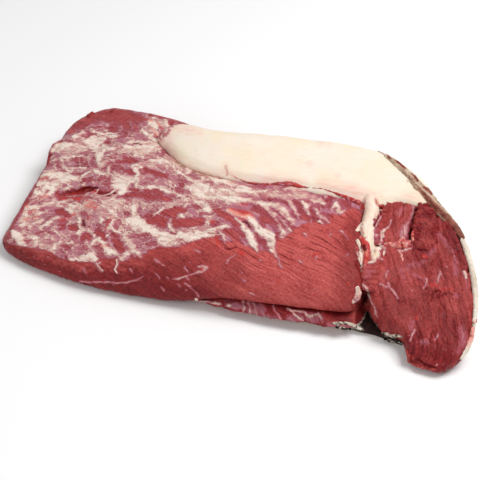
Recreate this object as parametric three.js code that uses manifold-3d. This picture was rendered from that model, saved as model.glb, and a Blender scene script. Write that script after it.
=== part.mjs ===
// A raw whole beef brisket, boned and trimmed, lying on its fat cap with the rib side up.
// The flat is the long slab of lean that thins out to the left. The point is the thick lobe at
// the right, which also runs on as a thin tongue below the flat. Hard fat fills the seam between
// the two along the back and sends a strand down between them, and the fat cap lies below it all
// and turns up round the thick end.
// Units are millimetres: +X runs from the thin end to the thick end, +Y to the back, +Z up.
import * as THREE from "three";
import { mergeVertices } from "three/addons/utils/BufferGeometryUtils.js";
import { ImprovedNoise } from "three/addons/math/ImprovedNoise.js";
import Module from "manifold-3d";

const wasm = await Module();
wasm.setup();

// Driving sizes of the whole joint of meat.
const LENGTH = 527; // from the thin end to the thick end
const WIDTH = 240; // across the thin end
const HEIGHT = 88; // at the hard fat, with the cap below it
const CAP_THIN = 3; // fat cap under the thin end
const CAP_THICK = 9; // fat cap under and round the thick end
const GAP = 0.4; // left between two solids that touch

const { clamp, degToRad, lerp, smoothstep } = THREE.MathUtils;

// Sizes that follow from the driving ones. Widths are shares of WIDTH and heights of HEIGHT.
const at = (share) => (share - 0.5) * LENGTH; // X of a place along the length, from 0 to 1
const TONGUE_TOP = 0.21 * HEIGHT;
const SOFT_EDGE = 0.16 * HEIGHT; // how round the upper edge of the lean is
const FAT_EDGE = 0.18 * HEIGHT; // the same for the hard fat
const FOOT_EDGE = 0.07 * HEIGHT; // how round a lower edge is

// A smooth line through [share of the length, value] pairs, times a scale.
function line(scale, ...pairs) {
  const places = pairs.map((pair) => pair[0]);
  const values = pairs.map((pair) => pair[1] * scale);
  const spline = new THREE.CubicInterpolant(places, values, 1, new Float64Array(1));
  return (share) => spline.evaluate(clamp(share, places[0], places[places.length - 1]))[0];
}

const across = (...pairs) => line(WIDTH, ...pairs);
const up = (...pairs) => line(HEIGHT, ...pairs);

// Thickness of the fat cap at a place along the length.
const capTop = (share) => lerp(CAP_THIN, CAP_THICK, smoothstep(share, 0.3, 0.75));

// The slope of the thick end, from its low front edge to the ridge below the hard fat: its
// height at a Y.
const slope = up(
  [-0.42, 0.22], [-0.33, 0.32], [-0.13, 0.55], [0.03, 0.73], [0.17, 0.87], [0.26, 0.92], [0.35, 0.9],
);
const slopeAt = (y) => slope(y / WIDTH);

// The lumps of soft tissue at a point: broad swells with smaller ones on top.
const perlin = new ImprovedNoise();
const SWELL = 46; // from one swell to the next
const DIMPLE = 17;

function lumps({ x, y, z }, size) {
  const swell = perlin.noise(x / SWELL, y / SWELL, z / SWELL + size);
  const dimple = perlin.noise(x / DIMPLE, y / DIMPLE, z / DIMPLE - size);
  return size * (swell + 0.6 * dimple);
}

// How far a rim of this radius falls away at a distance inside the outline.
function arc(inside, radius) {
  return inside < radius ? radius - Math.sqrt(radius ** 2 - (radius - inside) ** 2) : 0;
}

// A closed slab of tissue between two ends. The sides of a box are laid on its outline, and the
// two faces on its top and bottom, which take (share of the length, Y). edge is the radius of its
// upper rim and foot of its lower one, corner is how square its outline is at the front and at
// the back, and hollow how far its first end is drawn in at the middle.
function slab({ ends, hollow = 0, front, back, top, bottom, edge, foot, corner, relief, cells, grow }) {
  const [columns, rows, layers] = cells;
  const box = new THREE.BoxGeometry(2, 2, 2, columns, rows, layers);
  const place = box.getAttribute("position");
  const halfLength = (at(ends[1]) - at(ends[0])) / 2;
  for (let i = 0; i < place.count; i++) {
    // Rows and columns lie closer together near the rim, which is round.
    const a = lerp(place.getX(i), Math.sin((place.getX(i) * Math.PI) / 2), 0.6);
    const b = Math.sin((place.getY(i) * Math.PI) / 2);
    const rise = (place.getZ(i) + 1) / 2;
    const radius = Math.max(Math.abs(a), Math.abs(b));
    const square = lerp(corner[0], corner[1], (b + 1) / 2);
    const power = Math.abs(a) ** square + Math.abs(b) ** square;
    const squeeze = radius > 0 ? radius / power ** (1 / square) : 1;
    const first = ends[0] + hollow * (1 - b ** 2);
    const share = lerp(first, ends[1], (a * squeeze + 1) / 2);
    const y = lerp(front(share), back(share), (b * squeeze + 1) / 2);
    const halfWidth = (back(share) - front(share)) / 2;
    const inside = Math.min((1 - Math.abs(a)) * halfLength, (1 - Math.abs(b)) * halfWidth);
    const [low, high] = [bottom(share, y), top(share, y)];
    const most = 0.42 * (high - low);
    const [under, over] = [arc(inside, Math.min(foot, most)), arc(inside, Math.min(edge, most))];
    place.setXYZ(i, at(share), y, lerp(low + under, high - over, rise));
  }
  return finish(box, relief, grow);
}

// Adds the lumps to all but the underside, grows the surface by grow, and makes a solid of it.
function finish(geometry, relief, grow) {
  geometry.deleteAttribute("uv");
  geometry.deleteAttribute("normal");
  const merged = mergeVertices(geometry, 1e-3);
  merged.computeVertexNormals();
  const place = merged.getAttribute("position");
  const normal = merged.getAttribute("normal");
  const point = new THREE.Vector3();
  const outwards = new THREE.Vector3();
  for (let i = 0; i < place.count; i++) {
    point.fromBufferAttribute(place, i);
    outwards.fromBufferAttribute(normal, i);
    const free = smoothstep(outwards.z, -0.6, 0);
    point.addScaledVector(outwards, free * lumps(point, relief) + grow);
    place.setXYZ(i, point.x, point.y, point.z);
  }
  return new wasm.Manifold(
    new wasm.Mesh({
      numProp: 3,
      vertProperties: new Float32Array(place.array),
      triVerts: new Uint32Array(merged.index.array),
    }),
  );
}

// A long rounded lens turned by degrees, for the strand of fat and for the cuts in the lean.
function lens({ centre, size, turn, relief = 0, grow = 0 }) {
  const ball = new THREE.SphereGeometry(1, 18, 10);
  ball.scale(size[0] / 2, size[1] / 2, size[2] / 2);
  ball.applyMatrix4(new THREE.Matrix4().makeRotationFromEuler(new THREE.Euler(...turn.map(degToRad))));
  ball.translate(...centre);
  return finish(ball, relief, grow);
}

// The flat: a slab of lean, thin at the left and thick at the right, whose front face is a
// shoulder that leans back the more the thicker it gets.
const flatFront = across(
  [0, -0.24], [0.06, -0.29], [0.15, -0.335], [0.27, -0.365], [0.38, -0.355], [0.6, -0.31], [0.77, -0.27],
);
const flatBack = across(
  [0, 0.62], [0.03, 0.71], [0.09, 0.785], [0.19, 0.74], [0.3, 0.675], [0.37, 0.61], [0.5, 0.55], [0.78, 0.53],
);
const shoulderWidth = across([0, 0.05], [0.2, 0.07], [0.33, 0.12], [0.45, 0.19], [0.6, 0.24], [0.77, 0.3]);
const flatNearTop = up(
  [0, 0.28], [0.13, 0.34], [0.23, 0.42], [0.33, 0.54], [0.45, 0.68], [0.6, 0.78], [0.77, 0.86],
);
const flatFarTop = up(
  [0, 0.42], [0.1, 0.5], [0.2, 0.61], [0.35, 0.68], [0.5, 0.76], [0.65, 0.84], [0.77, 0.9],
);
const SHOULDER_BEND = 1.5; // 1 is a straight slope and 2 a quarter of an ellipse
const LIP = 0.35; // how much of the front face stands upright below the shoulder

const flatBottom = (share) => lerp(capTop(share), TONGUE_TOP + GAP, smoothstep(share, 0.4, 0.52));

function flatTop(share, y) {
  const ridgeY = flatFront(share) + shoulderWidth(share);
  const ahead = clamp((ridgeY - y) / shoulderWidth(share), 0, 1);
  const rise = (1 - ahead ** SHOULDER_BEND) ** (1 / SHOULDER_BEND);
  const inwards = smoothstep(y, ridgeY, lerp(ridgeY, flatBack(share), 0.5));
  const high = lerp(flatNearTop(share), flatFarTop(share), inwards);
  return lerp(lerp(flatBottom(share), high, LIP), high, rise);
}

function flat(grow) {
  return slab({
    ends: [0.003, 0.776],
    hollow: 0.011,
    front: flatFront,
    back: flatBack,
    top: flatTop,
    bottom: flatBottom,
    edge: SOFT_EDGE,
    foot: FOOT_EDGE,
    corner: [22, 8],
    relief: 2.2,
    cells: [28, 16, 3],
    grow,
  });
}

// The point's tongue, which runs below the flat and comes out along its front and its back.
function tongue(grow) {
  return slab({
    ends: [0.42, 0.79],
    front: across([0.42, -0.31], [0.5, -0.34], [0.65, -0.345], [0.79, -0.32]),
    back: across([0.42, 0.54], [0.6, 0.54], [0.79, 0.51]),
    top: (share) => lerp(0.55 * TONGUE_TOP, TONGUE_TOP, smoothstep(share, 0.42, 0.52)),
    bottom: capTop,
    edge: FOOT_EDGE,
    foot: 0.5 * FOOT_EDGE,
    corner: [9, 9],
    relief: 1.2,
    cells: [16, 7, 2],
    grow,
  });
}

// The point's lobe, whose long slope falls from the ridge to a low front edge.
const lobeFront = across(
  [0.765, -0.02], [0.785, -0.17], [0.805, -0.25], [0.83, -0.305], [0.87, -0.325], [0.888, -0.405],
  [0.93, -0.44], [0.96, -0.435], [0.993, -0.37],
);
const lobeBack = across(
  [0.765, 0.48], [0.82, 0.43], [0.86, 0.33], [0.9, 0.23], [0.94, 0.12], [0.97, 0.02], [0.993, -0.1],
);

function lobe(grow) {
  return slab({
    ends: [0.765, 0.993],
    front: lobeFront,
    back: lobeBack,
    top: (share, y) => slopeAt(y),
    bottom: (share, y) => lerp(CAP_THIN, capTop(share), smoothstep(y / WIDTH, -0.4, -0.25)),
    edge: 0.7 * SOFT_EDGE,
    foot: FOOT_EDGE,
    corner: [9, 6],
    relief: 2.6,
    cells: [15, 17, 3],
    grow,
  });
}

// The hard fat: a long loaf in the seam along the back, with the strand that it sends down
// between the flat and the point.
const loafFront = across(
  [0.24, 0.47], [0.275, 0.42], [0.32, 0.33], [0.38, 0.275], [0.45, 0.25], [0.6, 0.24], [0.7, 0.205],
  [0.75, 0.185], [0.81, 0.205], [0.88, 0.22],
);
const loafBack = across(
  [0.24, 0.57], [0.3, 0.595], [0.4, 0.555], [0.55, 0.57], [0.7, 0.58], [0.78, 0.54], [0.83, 0.45],
  [0.88, 0.32],
);
const loafTop = up([0.24, 0.74], [0.3, 0.86], [0.42, 0.95], [0.6, 0.99], [0.8, 1], [0.88, 0.98]);
const loafShoulder = up([0.24, 0.7], [0.35, 0.78], [0.5, 0.85], [0.65, 0.9], [0.8, 0.97], [0.88, 0.97]);

function hardFat(grow) {
  const crownAt = (share) => lerp(loafFront(share), loafBack(share), 0.8);
  const loaf = slab({
    ends: [0.24, 0.882],
    front: loafFront,
    back: loafBack,
    top: (share, y) =>
      lerp(loafShoulder(share), loafTop(share), smoothstep(y, loafFront(share), crownAt(share))),
    bottom: (share, y) => HEIGHT * lerp(0.42, 0.3, smoothstep(y / WIDTH, 0.3, 0.6)),
    edge: FAT_EDGE,
    foot: FOOT_EDGE,
    corner: [4.5, 3.5],
    relief: 1.3,
    cells: [26, 9, 3],
    grow,
  });
  const strand = lens({
    centre: [at(0.76), 0.055 * WIDTH, 0.7 * HEIGHT],
    size: [0.08 * WIDTH, 0.46 * WIDTH, 0.42 * HEIGHT],
    turn: [18, 0, 5],
    relief: 1,
    grow,
  });
  return loaf.add(strand);
}

// The fat cap as one sheet with its turned-up wall, before the lean and the hard fat are taken
// out of it.
const capFront = across(
  [0.012, -0.13], [0.15, -0.22], [0.27, -0.27], [0.46, -0.29], [0.6, -0.31], [0.8, -0.29], [0.86, -0.315],
  [0.9, -0.34], [0.95, -0.37], [0.985, -0.35], [1, -0.28],
);
const capBack = across(
  [0.012, 0.56], [0.03, 0.66], [0.1, 0.74], [0.2, 0.71], [0.34, 0.59], [0.5, 0.55], [0.7, 0.555],
  [0.78, 0.53], [0.82, 0.465], [0.87, 0.345], [0.92, 0.225], [0.96, 0.125], [0.985, 0.01], [1, -0.1],
);

function capBlank() {
  return slab({
    ends: [0.012, 1],
    front: capFront,
    back: capBack,
    top: (share, y) =>
      lerp(capTop(share) + 1, slopeAt(y) - 0.04 * HEIGHT, smoothstep(share, 0.81, 0.89)),
    bottom: () => 0,
    edge: 0.5 * CAP_THICK,
    foot: 0.3 * CAP_THICK,
    corner: [9, 7],
    relief: 0,
    cells: [28, 14, 2],
    grow: 0,
  });
}

// The slit in the top of the flat, where a vein came out, and the cleft in the point's slope.
const slit = lens({
  centre: [at(0.142), 0.1 * WIDTH, 0.44 * HEIGHT],
  size: [0.28 * WIDTH, 0.045 * WIDTH, 0.16 * HEIGHT],
  turn: [17, 0, 20],
});
const cleft = lens({
  centre: [at(0.868), 0.13 * WIDTH, 0.84 * HEIGHT],
  size: [0.035 * WIDTH, 0.21 * WIDTH, 0.3 * HEIGHT],
  turn: [20, 0, 7],
});

// The largest body of a solid, without the scraps that a cut leaves.
function largest(solid) {
  return solid.decompose().sort((one, other) => other.volume() - one.volume())[0];
}

const lobeAndTongue = (grow) => lobe(grow).add(tongue(grow));
const loafRoom = hardFat(GAP);
const pointRoom = lobeAndTongue(GAP);
const pointSolid = largest(lobeAndTongue(0).subtract(loafRoom).subtract(cleft));
const flatSolid = largest(flat(0).subtract(loafRoom).subtract(pointRoom).subtract(slit));
const capSolid = largest(capBlank().subtract(flat(GAP)).subtract(pointRoom).subtract(loafRoom));

// A named mesh of a solid.
function tissue(name, solid, colour, roughness) {
  const { vertProperties, triVerts } = solid.getMesh();
  const geometry = new THREE.BufferGeometry();
  geometry.setAttribute("position", new THREE.BufferAttribute(vertProperties, 3));
  geometry.setIndex(new THREE.BufferAttribute(triVerts, 1));
  geometry.computeVertexNormals();
  const material = new THREE.MeshStandardMaterial({ color: colour, roughness, metalness: 0 });
  const mesh = new THREE.Mesh(geometry, material);
  mesh.name = name;
  return mesh;
}

const brisket = new THREE.Group();
brisket.add(
  tissue("flat_lean", flatSolid, 0x9c3f42, 0.45),
  tissue("point_lean", pointSolid, 0x983a38, 0.45),
  tissue("hard_fat", hardFat(0), 0xf5e8d2, 0.5),
  tissue("fat_cap", capSolid, 0xe9dfcd, 0.5),
);

// The origin is the middle of the underside's bounding box.
const bounds = new THREE.Box3().setFromObject(brisket);
const middle = bounds.getCenter(new THREE.Vector3());
brisket.position.set(-middle.x, -middle.y, -bounds.min.z);

export default brisket;
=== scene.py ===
import math

import bmesh
import bpy
import numpy as np
from mathutils import Matrix, Vector, noise
from mathutils.bvhtree import BVHTree


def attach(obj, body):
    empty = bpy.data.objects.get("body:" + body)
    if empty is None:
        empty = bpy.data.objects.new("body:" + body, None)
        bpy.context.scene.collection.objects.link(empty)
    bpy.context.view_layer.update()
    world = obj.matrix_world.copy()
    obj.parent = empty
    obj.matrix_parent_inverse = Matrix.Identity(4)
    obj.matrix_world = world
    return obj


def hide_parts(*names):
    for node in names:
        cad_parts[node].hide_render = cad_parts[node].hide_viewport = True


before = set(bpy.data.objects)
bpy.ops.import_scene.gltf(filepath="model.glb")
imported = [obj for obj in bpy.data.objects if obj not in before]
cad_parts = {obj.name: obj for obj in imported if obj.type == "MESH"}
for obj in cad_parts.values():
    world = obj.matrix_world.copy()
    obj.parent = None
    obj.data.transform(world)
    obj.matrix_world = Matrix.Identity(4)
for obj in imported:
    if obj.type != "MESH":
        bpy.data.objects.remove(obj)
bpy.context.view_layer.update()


# --- Camera ---------------------------------------------------------------------------------------
# A long lens looks down on the brisket from its front right. It comes first, because cuts, strands
# and stains are placed below as it sees them: x to the right and y down, in 480ths of its frame.

AZIMUTH, ELEVATION, DISTANCE, LENS = 16, 42, 1.40, 97
AIM = Vector((-0.0017, -0.0415, 0.035))
FRAME = 480

turn, rise = math.radians(AZIMUTH), math.radians(ELEVATION)
back = Vector((math.sin(turn) * math.cos(rise), -math.cos(turn) * math.cos(rise), math.sin(rise)))
right = Vector((math.cos(turn), math.sin(turn), 0))
up = back.cross(right)
camera = bpy.data.objects.new("camera", bpy.data.cameras.new("camera"))
camera.data.lens = LENS
eye = AIM + DISTANCE * back
camera.matrix_world = Matrix.Translation(eye) @ Matrix((right, up, back)).transposed().to_4x4()
bpy.context.scene.collection.objects.link(camera)
bpy.context.scene.camera = camera


def on_frame(points):
    """Where points of the brisket fall in the camera's frame, in its 480ths."""
    away = points - np.array(eye)
    zoom = LENS / camera.data.sensor_width * FRAME / -(away @ np.array(back))
    x, y = FRAME / 2 + zoom * (away @ np.array(right)), FRAME / 2 - zoom * (away @ np.array(up))
    return np.stack([x, y], 1)


# --- Flat -----------------------------------------------------------------------------------------
# The flat is the long, thin muscle: lean under silverskin and an uneven web of fat. The knife has cut
# its front face across the fibres, and its back left edge has dried dark. Its solid is meshed anew in
# small even squares, finer where the camera looks, and cuts, folds and fibres are pressed into it.

MM = 0.001
solids = bmesh.new()
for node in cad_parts.values():
    solids.from_mesh(node.data)
standing = BVHTree.FromBMesh(solids)
solids.free()

AXES = {"use_axis_x": True, "use_axis_y": True, "use_axis_z": True}
TURNED = 0.05  # the least that a face must face the camera to be made finer


def evened(name, mesh, square, rounds):
    """A new piece: the mesh built anew in even squares of that many metres, and softened."""
    piece = bpy.data.objects.new(name, mesh)
    bpy.context.scene.collection.objects.link(piece)
    even = piece.modifiers.new("even", "REMESH")
    even.mode, even.voxel_size = "VOXEL", square
    soft = piece.modifiers.new("soft", "SMOOTH")
    soft.factor, soft.iterations = 0.5, rounds
    view = bpy.context.evaluated_depsgraph_get()
    piece.data = bpy.data.meshes.new_from_object(piece.evaluated_get(view))
    piece.modifiers.clear()
    piece.data.name = name
    piece.data.polygons.foreach_set("use_smooth", [True] * len(piece.data.polygons))
    return piece


def meshed(node, name, square):
    """A copy of a solid in even squares of that many metres, and of half that where it is seen."""
    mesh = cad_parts[node].data.copy()
    mesh.materials.clear()  # or the solid's plain material would hide the one given later
    weld = bmesh.new()
    weld.from_mesh(mesh)
    bmesh.ops.remove_doubles(weld, verts=weld.verts, dist=0.01 * MM)
    weld.to_mesh(mesh)
    weld.free()
    piece = evened(name, mesh, square, 3)
    skin = bmesh.new()
    skin.from_mesh(piece.data)
    seen = {edge for face in skin.faces if face.normal.dot(back) > TURNED for edge in face.edges}
    bmesh.ops.subdivide_edges(skin, edges=list(seen), cuts=1, use_grid_fill=True)
    bmesh.ops.smooth_vert(skin, verts=skin.verts, factor=0.5, **AXES)
    bmesh.ops.triangulate(skin, faces=[face for face in skin.faces if len(face.verts) > 4])
    for face in skin.faces:
        face.smooth = True
    skin.to_mesh(piece.data)
    skin.free()
    return piece


def spots(piece):
    """A mesh's points, one row each, in metres."""
    numbers = np.empty(len(piece.data.vertices) * 3)
    piece.data.vertices.foreach_get("co", numbers)
    return numbers.reshape(-1, 3)


def facing(piece):
    """The directions that a mesh's points face."""
    numbers = np.empty(len(piece.data.vertices) * 3)
    piece.data.vertex_normals.foreach_get("vector", numbers)
    return numbers.reshape(-1, 3)


def rough(points, size, seed=0):
    """Smooth noise from -1 to 1 at each point, with swellings of that many metres."""
    shift = Vector((seed * 7.3, seed * 3.1, seed * 5.7))
    return np.array([noise.noise(Vector(p) + shift) for p in points / size])


def step(value, low, high):
    """0 below low, 1 above high, and a smooth rise between."""
    share = np.clip((value - low) / (high - low), 0, 1)
    return share * share * (3 - 2 * share)


EDGE_ON = -0.1  # the least that a point may face the camera to count as seen
CLEAR = 5 * MM  # how far off its own surface the look from a point to the camera starts
views = {}


def viewed(piece):
    """Which points of a piece the camera sees, and where all of them fall in the frame, jogged a
    little, so that whatever is laid there gets a ragged edge."""
    if piece.name not in views:
        place = spots(piece)
        seen = facing(piece) @ np.array(back) > EDGE_ON
        for i in np.flatnonzero(seen):
            spot = piece.data.vertices[i].co
            ray = (eye - spot).normalized()
            seen[i] = standing.ray_cast(spot + CLEAR * ray, ray)[0] is None
        jog = [1.1 * rough(place, 6 * MM, s) + 0.8 * rough(place, 2.2 * MM, s + 2) for s in (20, 21)]
        views[piece.name] = seen, on_frame(place) + np.stack(jog, 1)
    return views[piece.name]


def marks(piece, strokes, soft=1.2):
    """How strongly strokes mark each point that is in sight, from 0 to 1. A stroke is a path of
    (x, y, radius) in the frame. Its strength is a half at the radius and fades over soft."""
    seen, place = viewed(piece)
    strength = np.zeros(len(seen))
    for stroke in strokes:
        path = np.array(stroke if len(stroke) > 1 else stroke * 2, float)
        for (x0, y0, r0), (x1, y1, r1) in zip(path, path[1:]):
            run = np.array((x1 - x0, y1 - y0))
            reach = max(r0, r1) + 2 * soft
            low = np.minimum((x0, y0), (x1, y1)) - reach
            high = np.maximum((x0, y0), (x1, y1)) + reach
            near = np.flatnonzero(seen & ((place > low) & (place < high)).all(1))
            gap = place[near] - (x0, y0)
            along = np.clip(gap @ run / max(run @ run, 1e-9), 0, 1)
            gap = np.hypot(*(gap - along[:, None] * run).T) - (r0 + (r1 - r0) * along)
            strength[near] = np.maximum(strength[near], np.clip(0.5 - gap / (2 * soft), 0, 1))
    return strength


def press(piece, depth):
    """Moves a mesh's points inwards by their depths, in metres, but none below the table."""
    moved = spots(piece) - facing(piece) * depth[:, None]
    moved[:, 2] = np.maximum(moved[:, 2], 0.1 * MM)
    piece.data.vertices.foreach_set("co", moved.ravel())
    piece.data.update()


def unturned(angle):
    """The matrix that turns rows of places back by that many degrees."""
    fall = math.radians(angle)
    return np.array(((math.cos(fall), math.sin(fall)), (-math.sin(fall), math.cos(fall))))


GUIDE_REACH = 13  # over how many 480ths of the frame a guide's pull fades


def along_grain(piece, guides):
    """Each point's place in metres along the fibres, across them and in depth. A guide is (x, y,
    angle): where it lies in the frame and by how many degrees the fibres fall to the right there."""
    place, frame_place = spots(piece), on_frame(spots(piece))
    level = np.stack([place @ np.array(right), place @ np.array(up)], 1)
    pixel = DISTANCE * camera.data.sensor_width / LENS / FRAME
    usual = unturned(np.median([angle for *_, angle in guides]))
    total, pull = np.zeros((len(place), 2)), np.zeros(len(place))
    for x, y, angle in guides:
        centre = AIM.dot(right) + pixel * (x - FRAME / 2), AIM.dot(up) - pixel * (y - FRAME / 2)
        turned = (level - centre) @ unturned(angle) + np.array(centre) @ usual
        weight = np.exp(-np.hypot(*(frame_place - (x, y)).T) / GUIDE_REACH)
        total, pull = total + turned * weight[:, None], pull + weight
    return np.column_stack([total / pull[:, None], place @ np.array(back)])


def keep(piece, **layers):
    """Stores a number, or a row of three, for each point, where the material reads it by name."""
    for name, values in layers.items():
        single = values.ndim == 1
        layer = piece.data.attributes.new(name, "FLOAT" if single else "FLOAT_VECTOR", "POINT")
        layer.data.foreach_set("value" if single else "vector", values.astype(np.float32).ravel())


# the silverskin's front edge, as (x, y)
SKIN_EDGE = (
    (0, 240), (10, 244), (20, 247), (35, 248), (48, 251), (60, 258), (72, 261), (95, 262), (100, 258),
    (116, 258), (123, 262), (128, 259), (142, 257), (150, 250), (160, 247), (178, 247), (188, 244),
    (200, 239), (214, 237), (222, 241), (236, 242), (250, 247), (258, 250), (274, 253), (277, 240),
    (286, 237), (295, 229), (302, 224), (312, 222), (328, 224), (331, 214), (341, 216), (346, 210),
    (354, 208), (362, 214), (368, 222),
)
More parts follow.
